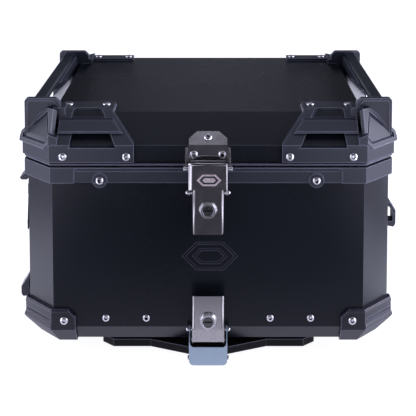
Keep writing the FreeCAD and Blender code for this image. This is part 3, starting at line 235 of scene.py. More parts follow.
def stainless(name, value, rough, half_width=None):
    """Brushed stainless steel: fine upright lines, small pits and stains."""
    t = Tree(name)
    lines = t.noise(1.0, 2.0, (1400.0, 1400.0, 25.0))
    speck = t.noise(1100.0, 3.0, rough=0.7)
    stain = t.noise(70.0, 4.0)
    dark = t.spread(speck, 0.35, 0.60)
    under = t.rolled(half_width) if half_width else None
    pitted = (value * 0.58, value * 0.56, value * 0.55, 1)
    clean = (value, value * 0.97, value * 0.96, 1)
    t.shade(
        Base_Color=t.mix(dark, pitted, clean), Metallic=1.0,
        Roughness=t.spread(stain, 0.3, 0.7, rough - 0.06, rough + 0.06),
        Normal=t.bump(lines, 0.05, 0.04 * MM, under))
    return t.material


def polished(name, value, rough):
    """Polished plated steel with faint handling marks and painted shade darkening its sockets and
    recesses.
    """
    t = Tree(name)
    marks = t.noise(300.0, 5.0)
    bright = (value, value, value * 1.02, 1)
    # Painted shade: where ambient occlusion finds a socket or recess, the colour falls towards this
    # near-black.
    pocket = grey(value * SOCKET_PAINTED_SHADE)
    t.shade(
        Base_Color=t.mix(t.open_sky(POCKET_REACH, *POCKET_SHADE), pocket, bright), Metallic=1.0,
        Roughness=t.spread(marks, 0.35, 0.7, rough, rough + 0.14),
        Normal=t.bump(marks, 0.05, 0.05 * MM))
    return t.material


def blue_satin(name):
    """Pale blue satin coat on the lower hood, with fine scratches across it and painted highlights
    along its edges.
    """
    t = Tree(name)
    lines = t.noise(1.0, 2.0, (30.0, 900.0, 900.0))
    cloud = t.noise(40.0, 3.0)
    edge = t.edges(0.7 * MM)
    base = t.mix(cloud, (0.42, 0.56, 0.66, 1), (0.52, 0.64, 0.73, 1))
    t.shade(
        # Painted highlight: edges are lightened towards a paler blue.
        Base_Color=t.mix(edge, base, (0.62, 0.74, 0.86, 1)), Metallic=0.45,
        Roughness=t.spread(cloud, 0.3, 0.7, 0.34, 0.44),
        Normal=t.bump(lines, 0.08, 0.05 * MM))
    return t.material


def rubber(name):
    """Dull black rubber with a dusty bloom."""
    t = Tree(name)
    bloom = t.noise(60.0, 5.0)
    t.shade(
        Base_Color=t.mix(t.spread(bloom, 0.45, 0.75), grey(0.010), grey(0.022)),
        Roughness=t.spread(bloom, 0.3, 0.7, 0.65, 0.85), Normal=t.bump(bloom, 0.2, 0.1 * MM))
    return t.material


def webbing(name):
    """Woven polyester webbing: ribs across and two rows of yarn."""
    t = Tree(name)
    axes = t.parted(t.place())
    run = t.math("SINE", t.math("MULTIPLY", axes["Z"], 2 * math.pi / RIB_PITCH))
    across = t.math("SINE", t.math("MULTIPLY", axes["Y"], 2 * math.pi / YARN_PITCH))
    weave = t.math("MULTIPLY", run, across)
    fuzz = t.noise(2500.0, 2.0)
    height = t.math("ADD", weave, fuzz)
    t.shade(
        Base_Color=t.mix(t.spread(height, -0.6, 1.4), grey(0.008), grey(0.04)),
        Roughness=0.82, Sheen_Weight=0.35, Normal=t.bump(height, 0.6, 0.3 * MM))
    return t.material


def felt(name):
    """Grey needle felt."""
    t = Tree(name)
    fibres = t.noise(1400.0, 6.0, rough=0.75)
    t.shade(
        Base_Color=t.mix(fibres, grey(0.05), grey(0.15)), Roughness=0.95, Sheen_Weight=0.5,
        Normal=t.bump(fibres, 0.7, 0.4 * MM))
    return t.material


def thread(name):
    """Bonded sewing thread, grey with a fine twist."""
    t = Tree(name)
    twist = t.noise(2600.0, 2.0)
    t.shade(
        Base_Color=t.mix(twist, grey(0.05), grey(0.16)), Roughness=0.6, Sheen_Weight=0.3,
        Normal=t.bump(twist, 0.5, 0.1 * MM))
    return t.material


def badge_metal(name):
    """Pale pinkish plating with soft cloudy wear."""
    t = Tree(name)
    wear = t.noise(420.0, 4.0)
    t.shade(
        Base_Color=t.mix(t.spread(wear, 0.35, 0.65), (0.62, 0.50, 0.50, 1), (0.85, 0.76, 0.76, 1)),
        Metallic=0.35, Roughness=t.spread(wear, 0.3, 0.7, 0.38, 0.5),
        Normal=t.bump(wear, 0.1, 0.05 * MM))
    return t.material


MATERIALS = {
    "black_sheet": powder_coat("black_sheet_coat", 0.0105, 0.32, 0.27),
    "black_plastic": moulded_plastic("black_plastic_grain", 0.032, 0.24, 0.36),
    "dark_plastic": moulded_plastic("dark_plastic_grain", 0.013, 0.26, 0.42),
    "plate_plastic": moulded_plastic("plate_plastic_grain", 0.0050, 0.05, 0.6, 900.0, 0.35, 0.2),
    "rail_metal": powder_coat("rail_metal_coat", 0.019, 0.30, 0.38),
    "stainless": stainless("stainless_brushed", 0.58, 0.15),
    "lever_steel": stainless("stainless_lever", 0.58, 0.15, LEVER_HALF),
    "hood_steel": stainless("stainless_hood", 0.58, 0.15, HOOD_HALF),
    "blue_hood": blue_satin("blue_hood_coat"),
    "bright_screws": polished("bright_screw_steel", 0.92, 0.20),
    "lock_metal": polished("lock_nickel", 0.72, 0.18),
    "lock_face": polished("lock_face_nickel", 0.16, 0.25),
    "seal_rubber": rubber("seal_rubber_bloom"),
    "strap_webbing": webbing("strap_webbing_weave"),
    "stay_webbing": webbing("stay_webbing_weave"),
    "liner_felt": felt("liner_felt_fibres"),
    "thread": thread("thread_twist"),
    "badge": badge_metal("badge_copper"),
}


# CAD nodes

WELD_CAD = 0.02 * MM
FLAT_ANGLE = math.radians(0.6)
SHARP_ANGLE = math.radians(28)


def soften(obj, width):
    """Welds the CAD mesh and rounds its sharp edges, as modifiers only."""
    weld = obj.modifiers.new("weld", "WELD")
    weld.merge_threshold = WELD_CAD
    flat = obj.modifiers.new("flat", "DECIMATE")
    flat.decimate_type = "DISSOLVE"
    flat.angle_limit = FLAT_ANGLE
    bevel = obj.modifiers.new("bevel", "BEVEL")
    bevel.width = width
    bevel.segments = 2
    bevel.limit_method = "ANGLE"
    bevel.angle_limit = SHARP_ANGLE
    bevel.use_clamp_overlap = True
    bevel.harden_normals = True


SOFT_EDGE = {
    "black_sheet": 0.9 * MM, "black_plastic": 0.8 * MM, "plate_plastic": 0.9 * MM,
    "rail_metal": 0.7 * MM, "stainless": 0.35 * MM, "blue_hood": 0.4 * MM,
    "lock_metal": 0.25 * MM, "bright_screws": 0.15 * MM,
}

FOLDED_EDGE = {
    "top_hood": 1.4 * MM, "base_hood": 0.9 * MM, "top_lever": 1.1 * MM, "base_lever": 1.0 * MM,
    "lid_keeper": 0.6 * MM,
}

LOOK_OF_NODE = {
    "top_lever": "lever_steel", "top_hood": "hood_steel",
    "lower_guard_front_left": "dark_plastic", "lower_guard_front_right": "dark_plastic",
    "lower_guard_rear_left": "dark_plastic", "lower_guard_rear_right": "dark_plastic",
}


def dress_cad_nodes():
    """Gives every CAD node its slot's material, or the look listed for it, and soft edges where its
    slot has them.
    """
    for entry in frame["record"]["subparts"]:
        obj = nodes[entry["node"]]
        slot = entry["material_slot"]
        obj.data.materials.clear()
        obj.data.materials.append(MATERIALS[LOOK_OF_NODE.get(entry["node"], slot)])
        if slot in SOFT_EDGE:
            soften(obj, FOLDED_EDGE.get(entry["node"], SOFT_EDGE[slot]))


dress_cad_nodes()


# Mesh helpers

def mesh_piece(name, points, faces, material, smooth=True):
    """Mesh object from points and faces, with consistent outward normals."""
    data = bpy.data.meshes.new(name)
    data.from_pydata([tuple(point) for point in points], [], faces)
    work = bmesh.new()
    work.from_mesh(data)
    bmesh.ops.recalc_face_normals(work, faces=work.faces)
    work.to_mesh(data)
    work.free()
    for face in data.polygons:
        face.use_smooth = smooth
    data.materials.append(material)
    obj = bpy.data.objects.new(name, data)
    bpy.context.scene.collection.objects.link(obj)
    return obj


def swept(sections, closed):
    """Points and faces of a skin through rings of points, closed on itself or capped."""
    count = len(sections[0])
    points = [point for ring in sections for point in ring]
    faces = []
    last = len(sections) if closed else len(sections) - 1
    for i in range(last):
        a, b = i * count, ((i + 1) % len(sections)) * count
        for k in range(count):
            n = (k + 1) % count
            faces.append((a + k, a + n, b + n, b + k))
    if not closed:
        faces.append(tuple(range(count)))
        faces.append(tuple(range(len(points) - count, len(points))))
    return points, faces


def merged(parts):
    """Points and faces of several skins as one list."""
    points, faces = [], []
    for more_points, more_faces in parts:
        base = len(points)
        points += more_points
        faces += [tuple(base + i for i in face) for face in more_faces]
    return points, faces


def band_section(centre, across, out, width, thick):
    """Ring of a webbing strip: rounded selvedges and a slight crown."""
    w, t, e = width / 2, thick / 2, thick * 0.6
    half = [(-w, t * 0.45), (-w + e, t), (-w * 0.5, t * 0.86), (0, t), (w * 0.5, t * 0.86),
            (w - e, t), (w, t * 0.45)]
    shape = [(u, -v) for u, v in half] + half[::-1]
    return [centre + across * u + out * v for u, v in shape]


def webbing_strip(path, across, width, thick):
    """Skin of a strip along a path of points, its width along one direction."""
    sections = []
    for i, point in enumerate(path):
        run = (path[min(i + 1, len(path) - 1)] - path[max(i - 1, 0)]).normalized()
        sections.append(band_section(point, across, run.cross(across).normalized(), width, thick))
    return swept(sections, False)


def stitch(a, b, radius, lift):
    """One thread stitch between two points, bowed outwards by lift."""
    run = (b - a).normalized()
    out = lift.normalized()
    other = run.cross(out)
    sections = []
    for k in range(STITCH_STEPS + 1):
        t = k / STITCH_STEPS
        middle = a.lerp(b, t) + lift * math.sin(math.pi * t)
        ring = [middle + (out * math.cos(u) + other * math.sin(u)) * radius
                for u in (2 * math.pi / THREAD_SIDES * j for j in range(THREAD_SIDES))]
        sections.append(ring)
    return swept(sections, False)


def sewn_run(a, b, pitch, gap, radius, lift):
    """Row of stitches from a to b, each leaving a gap at both of its ends."""
    count = max(2, round((b - a).length / pitch))
    return [stitch(a.lerp(b, (k + gap) / count), a.lerp(b, (k + 1 - gap) / count), radius, lift)
            for k in range(count)]


def stitched_box(centre, across, along, out, half_w, half_l):
    """Sewn box with a cross in it, as separate stitches on a strip's face."""
    corners = [centre + across * (u * half_w) + along * (v * half_l)
               for u, v in ((-1, -1), (1, -1), (1, 1), (-1, 1))]
    parts = []
    for i, j in ((0, 1), (1, 2), (2, 3), (3, 0), (0, 2), (1, 3)):
        parts += sewn_run(corners[i], corners[j], STITCH_PITCH, STITCH_GAP, STITCH_R,
                          out * STITCH_LIFT)
    return parts


def framed_plate(centre, across, along, out, half_w, half_l, thick, slots):
    """Plate with slots across it and bevelled edges, as one skin."""
    work = bmesh.new()
    wall = thick * FRAME_WALL
    us = [-half_w, -half_w + wall, half_w - wall, half_w]
    vs = sorted([-half_l, half_l] + [edge for pair in slots for edge in pair])
    grid = {}
    for s in (-1, 1):
        for i, u in enumerate(us):
            for j, v in enumerate(vs):
                place = centre + across * u + along * v + out * (s * thick / 2)
                grid[s, i, j] = work.verts.new(place)
    holes = {(1, vs.index(pair[0])) for pair in slots}
    solid = [(i, j) for i in range(len(us) - 1) for j in range(len(vs) - 1) if (i, j) not in holes]
    plate_faces(work, grid, solid)
    bmesh.ops.recalc_face_normals(work, faces=work.faces)
    bmesh.ops.bevel(work, geom=[e for e in work.edges if e.calc_face_angle(0) > FRAME_CREASE],
                    offset=thick * FRAME_BEVEL, segments=2, affect="EDGES")
    points = [vert.co.copy() for vert in work.verts]
    work.verts.index_update()
    faces = [tuple(vert.index for vert in face.verts) for face in work.faces]
    work.free()
    return points, faces


def plate_faces(work, grid, solid):
    """Front, back and rim faces of a plate that fills the solid cells of a grid."""
    for i, j in solid:
        for s in (-1, 1):
            work.faces.new([grid[s, i, j], grid[s, i + 1, j], grid[s, i + 1, j + 1],
                            grid[s, i, j + 1]])
        steps = (((i, j), (i + 1, j), (i, j - 1)), ((i + 1, j), (i + 1, j + 1), (i + 1, j)),
                 ((i + 1, j + 1), (i, j + 1), (i, j + 1)), ((i, j + 1), (i, j), (i - 1, j)))
        for a, b, neighbour in steps:
            if neighbour not in solid:
                work.faces.new([grid[-1, a[0], a[1]], grid[-1, b[0], b[1]],
                                grid[1, b[0], b[1]], grid[1, a[0], a[1]]])


# Soft goods and small parts

# Sewing
STITCH_PITCH = 2.6 * MM
STITCH_R = 0.22 * MM
STITCH_LIFT = 0.30 * MM
STITCH_GAP = 0.12
STITCH_STEPS = 4
THREAD_SIDES = 6

# Plan of the box at its wall, and the lid's hinge line
WALL_X = 0.213
WALL_Y = 0.1675
WALL_LEG = 0.033
HINGE_Y = 0.176
HINGE_Z = 0.22925
LID_TRAVEL = math.radians(95)

# Side strap, its buckle and its tail
STRAP_Y = -0.1065
STRAP_FOOT = 0.0635
STRAP_HEAD = 0.1985
STRAP_WIDTH = 16.0 * MM
STRAP_THICK = 1.5 * MM
STRAP_GAP = 1.5 * MM
STRAP_BOW = 1.1 * MM
STRAP_STEPS = 48
SEAM_Z = 0.083
BUCKLE_Z = 0.1845
BUCKLE_HALF = (11.5 * MM, 6.8 * MM)
BUCKLE_THICK = 2.6 * MM
FRAME_WALL = 1.1
FRAME_CREASE = 0.6
FRAME_BEVEL = 0.28
BUCKLE_SLOTS = [(-4.4 * MM, -1.5 * MM), (1.5 * MM, 4.4 * MM)]
TAIL_STEPS = 24
TAIL_START = 0.011
TAIL_LENGTH = 0.062
TAIL_GAP = 1.7 * MM
TAIL_FLARE = 1.2 * MM
TAIL_LEAN = 0.6 * MM
TAIL_SEAM_RISE = 0.003
SEAM_LAYER = 0.8 * MM
LOW_SEAM_HALF = (5.5 * MM, 4.0 * MM)
TAIL_SEAM_HALF = (5.5 * MM, 2.5 * MM)
BUCKLE_LAYER = 1.1 * MM

# Stays and the studs they sit on
STAY_X = 0.2015
STAY_Y = -0.0475
STAY_WIDTH = 9.0 * MM
STAY_THICK = 1.4 * MM
STAY_CASE_Z = 0.200
STAY_LID_Z = 0.2438
STAY_STEPS = 60
STAY_SEARCH_STEPS = 40
LUG_SIDES = 24
LUG_SINK = 2.5 * MM
LUG_PROFILE = [(0.0, 3.2), (8.6, 3.2), (9.0, 2.9), (9.6, 2.9), (10.0, 3.4), (12.6, 3.4),
               (13.2, 2.8), (13.2, 0.01)]

# Lid seal
SEAL_LOW = 0.22856
SEAL_HIGH = 0.22994
SEAL_SIDES = 14
SEAL_R = 0.9 * MM
SEAL_INSET = 1.7 * MM
SEAL_FOOT = (-1.55 * MM, -0.7 * MM)
SEAL_FOOT_DROP = 0.25 * MM

# Floor mat and its sewn border
MAT_Z = 0.0215
MAT_WELD = 0.01 * MM
MAT_HALF_THICK = 0.8 * MM
MAT_EDGE_R = 0.6 * MM
MAT_INSET = 0.0222
MAT_HOLE_X = (-0.095, 0.095)
MAT_HOLE_Y = (-0.080, 0.030)
MAT_HOLE_R = 7.4 * MM
MAT_HOLE_SIDES = 32
BORDER_Z = 0.0229
BORDER_INSET = 0.030
BORDER_PITCH = 6 * MM
BORDER_GAP = 0.15
BORDER_R = 0.35 * MM

# Badge
BADGE_CENTRE = (0.0012, 0.2192)
BADGE_FACE_Y = -0.1875
BADGE_SINK = 0.02 * MM
BADGE_RISE = 0.3 * MM
BADGE_OUTER = (14.0 * MM, 6.6 * MM)
BADGE_LINE = (2.85 * MM, 1.9 * MM)
BADGE_CORE = (7.6 * MM, 2.5 * MM)

X = Vector((1, 0, 0))
Y = Vector((0, 1, 0))
Z = Vector((0, 0, 1))


def strap_out(z, layer):
    """Distance of the side strap from the wall, bowing gently between its hooks."""
    t = (z - STRAP_FOOT) / (STRAP_HEAD - STRAP_FOOT)
    return STRAP_GAP + STRAP_BOW * math.sin(math.pi * t) + layer


def strap_place(z, layer=0.0, lean=0.0):
    """Point on the side strap at a height, lifted off it by a layer."""
    return Vector((-WALL_X - strap_out(z, layer), STRAP_Y + lean, z))


def ride(piece, body, replaced=None):
    """Hangs a piece on its body, and hides the CAD node it stands for, if any."""
    if replaced:
        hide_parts(replaced)
    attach(piece, body)


def side_strap():
    """Side webbing hung between two hooks, with a slide buckle and a loose stitched tail."""
    heights = [STRAP_FOOT + (STRAP_HEAD - STRAP_FOOT) * i / STRAP_STEPS
               for i in range(STRAP_STEPS + 1)]
    main = [strap_place(z) for z in heights]
    tail = []
    for i in range(TAIL_STEPS + 1):
        t = i / TAIL_STEPS
        flare = TAIL_GAP + TAIL_FLARE * math.sin(math.pi * 0.5 * t) * t
        tail.append(strap_place(BUCKLE_Z + TAIL_START - t * TAIL_LENGTH, flare, TAIL_LEAN * t))
    parts = [webbing_strip(path, Y, STRAP_WIDTH, STRAP_THICK) for path in (main, tail)]
    strap = mesh_piece("side_strap_webbing", *merged(parts), MATERIALS["strap_webbing"])
    ride(strap, "case", "side_strap")
    sewn = stitched_box(strap_place(SEAM_Z, SEAM_LAYER), Y, Z, -X, *LOW_SEAM_HALF)
    sewn += stitched_box(tail[-3] - X * SEAM_LAYER + Z * TAIL_SEAM_RISE, Y, Z, -X, *TAIL_SEAM_HALF)
    threads = mesh_piece("side_strap_stitches", *merged(sewn), MATERIALS["thread"])
    ride(threads, "case")
    centre = strap_place(BUCKLE_Z, BUCKLE_LAYER)
    slide = framed_plate(centre, Y, Z, X, *BUCKLE_HALF, BUCKLE_THICK, BUCKLE_SLOTS)
    buckle = mesh_piece("side_strap_buckle", *slide, MATERIALS["black_plastic"], False)
    ride(buckle, "case")


def stay_rest(share):
    """Rest place of a point on a stay strap, as (y, z) about the hinge line, found from its place
    on the straight open stay.
    """
    start = Vector((STAY_Y - HINGE_Y, STAY_CASE_Z - HINGE_Z))
    end = Vector((STAY_Y - HINGE_Y, STAY_LID_Z - HINGE_Z))
    c, s = math.cos(LID_TRAVEL), math.sin(LID_TRAVEL)
    opened = Vector((end.x * c + end.y * s, end.y * c - end.x * s))
    place = start.lerp(opened, share)
    low, high = 0.0, 1.0
    for _ in range(STAY_SEARCH_STEPS):
        turned = (low + high) / 2
        c, s = math.cos(turned * LID_TRAVEL), math.sin(turned * LID_TRAVEL)
        rest = Vector((place.x * c - place.y * s, place.x * s + place.y * c))
        t = min(1.0, max(0.0, (rest.y - start.y) / (end.y - start.y)))
        if t * t * (3 - 2 * t) > turned:
            low = turned
        else:
            high = turned
    return rest


def stay_straps():
    """Webbing stays inside both sides, folded away as when the lid is shut, with the studs they sit
    on.
    """
    for sign, name in ((-1, "stay_strap_left"), (1, "stay_strap_right")):
        path = []
        for i in range(STAY_STEPS + 1):
            rest = stay_rest(i / STAY_STEPS)
            path.append(Vector((sign * STAY_X, HINGE_Y + rest.x, HINGE_Z + rest.y)))
        skin = webbing_strip(path, X, STAY_WIDTH, STAY_THICK)
        strap = mesh_piece(name, *skin, MATERIALS["stay_webbing"])
        if sign < 0:
            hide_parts("stay_straps")
        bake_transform(strap)
    for body, z in (("case", STAY_CASE_Z), ("lid", STAY_LID_Z)):
        parts = [stay_lug(sign, z) for sign in (-1, 1)]
        lugs = mesh_piece("stay_lugs_" + body, *merged(parts), MATERIALS["bright_screws"])
        ride(lugs, body)


def stay_lug(sign, z):
    """Round stud with a flat head that a stay's sewn eye sits on."""
    sections = []
    for k in range(LUG_SIDES):
        turn = 2 * math.pi * k / LUG_SIDES
        ring = [Vector((sign * (WALL_X - LUG_SINK - inward * MM),
                        STAY_Y + math.cos(turn) * r * MM, z + math.sin(turn) * r * MM))
                for inward, r in LUG_PROFILE]
        sections.append(ring)
    points, faces = swept(sections, True)
    count = len(LUG_PROFILE)
    keep = [face for face in faces if {face[0] % count, face[1] % count} != {0, count - 1}]
    foot = tuple(k * count for k in range(LUG_SIDES))
    tip = tuple(k * count + count - 1 for k in range(LUG_SIDES))
    return points, keep + [foot, tip]


def body_outline(grow):
    """Plan of the box moved outwards by grow, in metres, counter-clockwise."""
    half_x, half_y = WALL_X + grow, WALL_Y + grow
    leg = WALL_LEG + grow * (2 - math.sqrt(2))
    return [
        (half_x - leg, -half_y), (half_x, leg - half_y), (half_x, half_y - leg),
        (half_x - leg, half_y), (leg - half_x, half_y), (-half_x, half_y - leg),
        (-half_x, leg - half_y), (leg - half_x, -half_y),
    ]


def ring_along(grow, section):
    """Closed ring whose (outward, up) section follows the box's plan."""
    plans = [(body_outline(grow + outward), z) for outward, z in section]
    corners = len(plans[0][0])
    return swept([[Vector((*plan[i], z)) for plan, z in plans] for i in range(corners)], True)


def lid_seal():
    """Rubber seal in the lid: a foot with a rounded, slightly squeezed bead."""
    middle = (SEAL_LOW + SEAL_HIGH) / 2
    half = (SEAL_HIGH - SEAL_LOW) / 2
    section = []
    for k in range(SEAL_SIDES):
        turn = 2 * math.pi * k / SEAL_SIDES
        section.append((math.cos(turn) * SEAL_R, middle + math.sin(turn) * half))
    foot_z = middle - SEAL_FOOT_DROP
    foot_in, foot_out = SEAL_FOOT
    foot = [(foot_in, foot_z), (foot_out, foot_z), (foot_out, SEAL_HIGH), (foot_in, SEAL_HIGH)]
    skin = merged([ring_along(-SEAL_INSET, section), ring_along(-SEAL_INSET, foot)])
    seal = mesh_piece("lid_seal_bead", *skin, MATERIALS["seal_rubber"])
    ride(seal, "lid", "lid_seal")


def floor_mat():
    """Felt mat with rounded cut edges, round screw holes and a sewn border."""
    curve = bpy.data.curves.new("floor_mat_curve", "CURVE")
    curve.dimensions = "2D"
    curve.fill_mode = "BOTH"
    curve.extrude = MAT_HALF_THICK
    curve.bevel_depth = MAT_EDGE_R
    curve.bevel_resolution = 3
    loops = [body_outline(-MAT_INSET)]
    for x in MAT_HOLE_X:
        for y in MAT_HOLE_Y:
            turns = [2 * math.pi * k / MAT_HOLE_SIDES for k in range(MAT_HOLE_SIDES)]
            loops.append([(x + MAT_HOLE_R * math.cos(turn), y + MAT_HOLE_R * math.sin(turn))
                          for turn in turns])
    for loop in loops:
        spline = curve.splines.new("POLY")
        spline.points.add(len(loop) - 1)
        for point, (x, y) in zip(spline.points, loop):
            point.co = (x, y, 0, 1)
        spline.use_cyclic_u = True
    holder = bpy.data.objects.new("floor_mat_curve", curve)
    data = bpy.data.meshes.new_from_object(holder)
    bpy.data.objects.remove(holder)
    work = bmesh.new()
    work.from_mesh(data)
    bmesh.ops.remove_doubles(work, verts=work.verts, dist=MAT_WELD)
    bmesh.ops.translate(work, verts=work.verts, vec=(0, 0, MAT_Z))
    bmesh.ops.recalc_face_normals(work, faces=work.faces)
    work.to_mesh(data)
    work.free()
    data.materials.clear()
    data.materials.append(MATERIALS["liner_felt"])
    mat = bpy.data.objects.new("floor_mat_felt", data)
    bpy.context.scene.collection.objects.link(mat)
    ride(mat, "case", "floor_mat")
    border = [Vector((x, y, BORDER_Z)) for x, y in body_outline(-BORDER_INSET)]
    parts = []
    for a, b in zip(border, border[1:] + border[:1]):
        parts += sewn_run(a, b, BORDER_PITCH, BORDER_GAP, BORDER_R, Z * BORDER_R)
    threads = mesh_piece("floor_mat_stitches", *merged(parts), MATERIALS["thread"])
    ride(threads, "case")


def hood_badge():
    """Plain hexagon outline with a small hexagon in it, laid on the upper hood."""
    back, front = BADGE_FACE_Y + BADGE_SINK, BADGE_FACE_Y - BADGE_RISE
    outer = badge_ring(*BADGE_OUTER)
    inner = badge_ring(BADGE_OUTER[0] - BADGE_LINE[0], BADGE_OUTER[1] - BADGE_LINE[1])
    frame_sections = [
        [Vector((ox, back, oz)), Vector((ox, front, oz)), Vector((ix, front, iz)),
         Vector((ix, back, iz))] for (ox, oz), (ix, iz) in zip(outer, inner)]
    core = [[Vector((x, y, z)) for x, z in badge_ring(*BADGE_CORE)] for y in (back, front)]
    skin = merged([swept(frame_sections, True), swept(core, False)])
    badge = mesh_piece("hood_badge", *skin, MATERIALS["badge"], False)
    ride(badge, "top_hood")


def badge_ring(half_w, half_h):
    """Long hexagon with pointed ends."""
    x, z = BADGE_CENTRE
    flat = half_w - half_h
    return [(x - flat, z - half_h), (x + flat, z - half_h), (x + half_w, z),
            (x + flat, z + half_h), (x - flat, z + half_h), (x - half_w, z)]


side_strap()
stay_straps()
lid_seal()
floor_mat()
hood_badge()


# Studio

# Strengths of the surround, and where each of its parts begins and ends
WORLD_HORIZON = 0.45
WORLD_BEHIND = 3.2
WORLD_DIM = 0.02
WORLD_ZENITH = 0.30
WORLD_LEFT = 0.78
WORLD_RIGHT = 1.35
WORLD_PATCH = 0.26
BEHIND_Y = (0.6, 0.95)
HORIZON_Z = (-0.02, 0.10)
ZENITH_Z = (0.75, 0.98)
PATCH_WAY = (0.0, 0.94, 0.34)
PATCH_SIZE = (0.02, 0.22)
SIDE_X = (0.45, 0.85)
TURN_X = (-0.45, 0.45)
SKY_TINT = (0.80, 0.82, 1.0, 1)

# Camera; pairs are for the shut and the open lid
CAMERA_HOME = (0.010, -1.2975, 0.600)
CAMERA_PITCH = math.radians(85.5)
SENSOR = 36.0
LENS = (87.0, 58.0)
SHIFT_X = (-0.0212, -0.0141)
SHIFT_Y = (-0.6885, -0.345)

# Lights and the floor's glow beside, near and far from the object
TOP_POWER = 1.3
LEFT_POWER = 8.0
RIGHT_POWER = 13.0
LIGHT_TINT = (0.80, 0.78, 1.0)
FLOOR_TINT = (0.80, 0.80, 1.0, 1)
FLOOR_ASIDE = 2.6
FLOOR_FAR_LEFT = 0.1
FLOOR_FAR_RIGHT = 0.5
FLOOR_NEAR = 0.85
FLOOR_DIM = 0.03
FLOOR_SEEN = 0.93
FLOOR_SIZE = 14.0
FLOOR_CENTRE_Y = 2.0
FLOOR_Z = -0.5 * MM
FLOOR_NEAR_Y = (-0.50, -0.14)
FLOOR_SIDE_X = (0.22, 0.36)
FLOOR_FAR_X = (0.42, 0.80)
FLOOR_TURN_X = (-0.3, 0.3)


def area_light(name, place, target, size, power):
    """Rectangular soft light aimed at a point."""
    data = bpy.data.lights.new(name, "AREA")
    data.shape = "RECTANGLE"
    data.size, data.size_y = size
    data.energy = power
    data.color = LIGHT_TINT
    lamp = bpy.data.objects.new(name, data)
    lamp.location = place
    lamp.rotation_euler = (Vector(target) - Vector(place)).to_track_quat("-Z", "Y").to_euler()
    lamp.visible_camera = False
    bpy.context.scene.collection.objects.link(lamp)


def ramp(t, value, low, high, to_low=0.0, to_high=1.0):
    """Smooth step of a value between two limits."""
    made = t.add("ShaderNodeMapRange", {
        "Value": value, "From Min": low, "From Max": high, "To Min": to_low, "To Max": to_high},
        interpolation_type="SMOOTHSTEP")
    return made.outputs["Result"]


class WorldTree(Tree):
    """The same short form for the world's node tree."""

    def __init__(self, name):
        world = bpy.data.worlds.new(name)
        world.use_nodes = True
        bpy.context.scene.world = world
        self.tree = world.node_tree


def studio():
    """White surround for the camera; for reflections, a bright horizon under a dim ceiling."""
    t = WorldTree("studio")
    way = t.add("ShaderNodeTexCoord").outputs["Generated"]
    x, y, z = t.parted(way)
    behind = ramp(t, y, *BEHIND_Y, WORLD_HORIZON, WORLD_BEHIND)
    horizon = t.math("MULTIPLY", ramp(t, z, *HORIZON_Z, 1.0, 0.0), behind)
    horizon = t.math("ADD", horizon, WORLD_DIM)
    zenith = ramp(t, z, *ZENITH_Z, 0.0, WORLD_ZENITH)
    patch = t.add("ShaderNodeVectorMath", {0: way, 1: PATCH_WAY}, operation="DISTANCE")
    zenith = t.math("ADD", zenith, ramp(t, patch.outputs["Value"], *PATCH_SIZE, WORLD_PATCH, 0.0))
    side = t.math("MULTIPLY", ramp(t, t.math("ABSOLUTE", x), *SIDE_X),
                  ramp(t, x, *TURN_X, WORLD_LEFT, WORLD_RIGHT))
    seen = t.math("ADD", t.math("ADD", horizon, zenith), side)
    from_camera = t.add("ShaderNodeLightPath").outputs["Is Camera Ray"]
    background = t.tree.nodes["Background"]
    t.feed(background, "Color", t.mix(from_camera, SKY_TINT, (1, 1, 1, 1)))
    t.feed(background, "Strength", ramp(t, from_camera, 0.0, 1.0, seen, 1.0))
    area_light("light_top", (0, 0.2, 1.7), (0, 0.0, 0.2), (0.9, 0.7), TOP_POWER)
    area_light("light_left", (-1.5, -0.25, 0.55), (-0.1, 0, 0.15), (0.9, 1.0), LEFT_POWER)
    area_light("light_right", (1.5, -0.25, 0.55), (0.1, 0, 0.15), (0.9, 1.0), RIGHT_POWER)


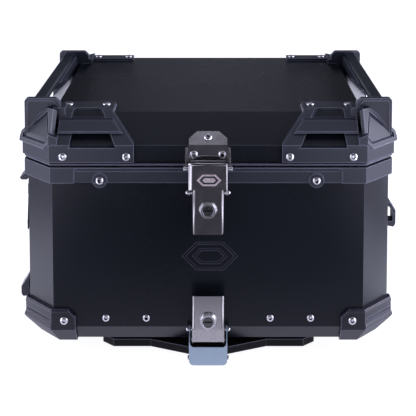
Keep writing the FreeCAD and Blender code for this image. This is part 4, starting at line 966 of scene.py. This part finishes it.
def floor():
    """Pale plain floor: white to the camera, darker in front for the object's reflections."""
    bpy.ops.mesh.primitive_plane_add(size=FLOOR_SIZE, location=(0, FLOOR_CENTRE_Y, FLOOR_Z))
    plane = bpy.context.object
    plane.name = "floor"
    t = Tree("floor_white")
    x, y, _ = t.parted(t.add("ShaderNodeNewGeometry").outputs["Position"])
    away = t.math("ABSOLUTE", x)
    far = ramp(t, x, *FLOOR_TURN_X, FLOOR_FAR_LEFT, FLOOR_FAR_RIGHT)
    aside = t.math("MULTIPLY", ramp(t, away, *FLOOR_SIDE_X, 0.0, FLOOR_ASIDE),
                   ramp(t, away, *FLOOR_FAR_X, 1.0, far))
    near = ramp(t, y, *FLOOR_NEAR_Y, 0.0, FLOOR_NEAR)
    glow = t.math("ADD", t.math("MAXIMUM", aside, near), FLOOR_DIM)
    from_camera = t.add("ShaderNodeLightPath").outputs["Is Camera Ray"]
    t.shade(
        Base_Color=t.mix(from_camera, (0.10, 0.10, 0.11, 1), (0.6, 0.6, 0.6, 1)), Roughness=0.9,
        Specular_IOR_Level=0.0,
        Emission_Color=t.mix(from_camera, FLOOR_TINT, (1, 1, 1, 1)),
        Emission_Strength=ramp(t, from_camera, 0.0, 1.0, glow, FLOOR_SEEN))
    plane.data.materials.append(t.material)


def lens_driver(data, path, values, other, camera):
    """Lens value for the shut and the open lid at the camera's own place, another elsewhere."""
    shut, opened = values
    driver = data.driver_add(path).driver
    driver.type = "SCRIPTED"
    for name, target, channel in (("y", camera, "LOC_Y"), ("lid", frame["bodies"]["lid"], "ROT_X")):
        variable = driver.variables.new()
        variable.name = name
        variable.type = "TRANSFORMS"
        variable.targets[0].id = target
        variable.targets[0].transform_type = channel
    at_home = f"abs(y - ({CAMERA_HOME[1]})) < 0.0005"
    driver.expression = (f"({shut} + ({opened} - {shut}) * min(abs(lid) / {LID_TRAVEL:.4f}, 1)) "
                         f"if {at_home} else {other}")


def camera():
    """Long lens looking slightly down, its film shifted, and wider while the lid stands open."""
    data = bpy.data.cameras.new("camera")
    cam = bpy.data.objects.new("camera", data)
    bpy.context.scene.collection.objects.link(cam)
    cam.location = CAMERA_HOME
    cam.rotation_euler = (CAMERA_PITCH, 0, 0)
    data.sensor_width = SENSOR
    data.lens = LENS[0]
    lens_driver(data, "shift_x", SHIFT_X, 0, cam)
    lens_driver(data, "shift_y", SHIFT_Y, 0, cam)
    lens_driver(data, "lens", LENS, LENS[0], cam)
    bpy.context.scene.camera = cam


studio()
floor()
camera()
bpy.context.scene.view_settings.view_transform = "Standard"
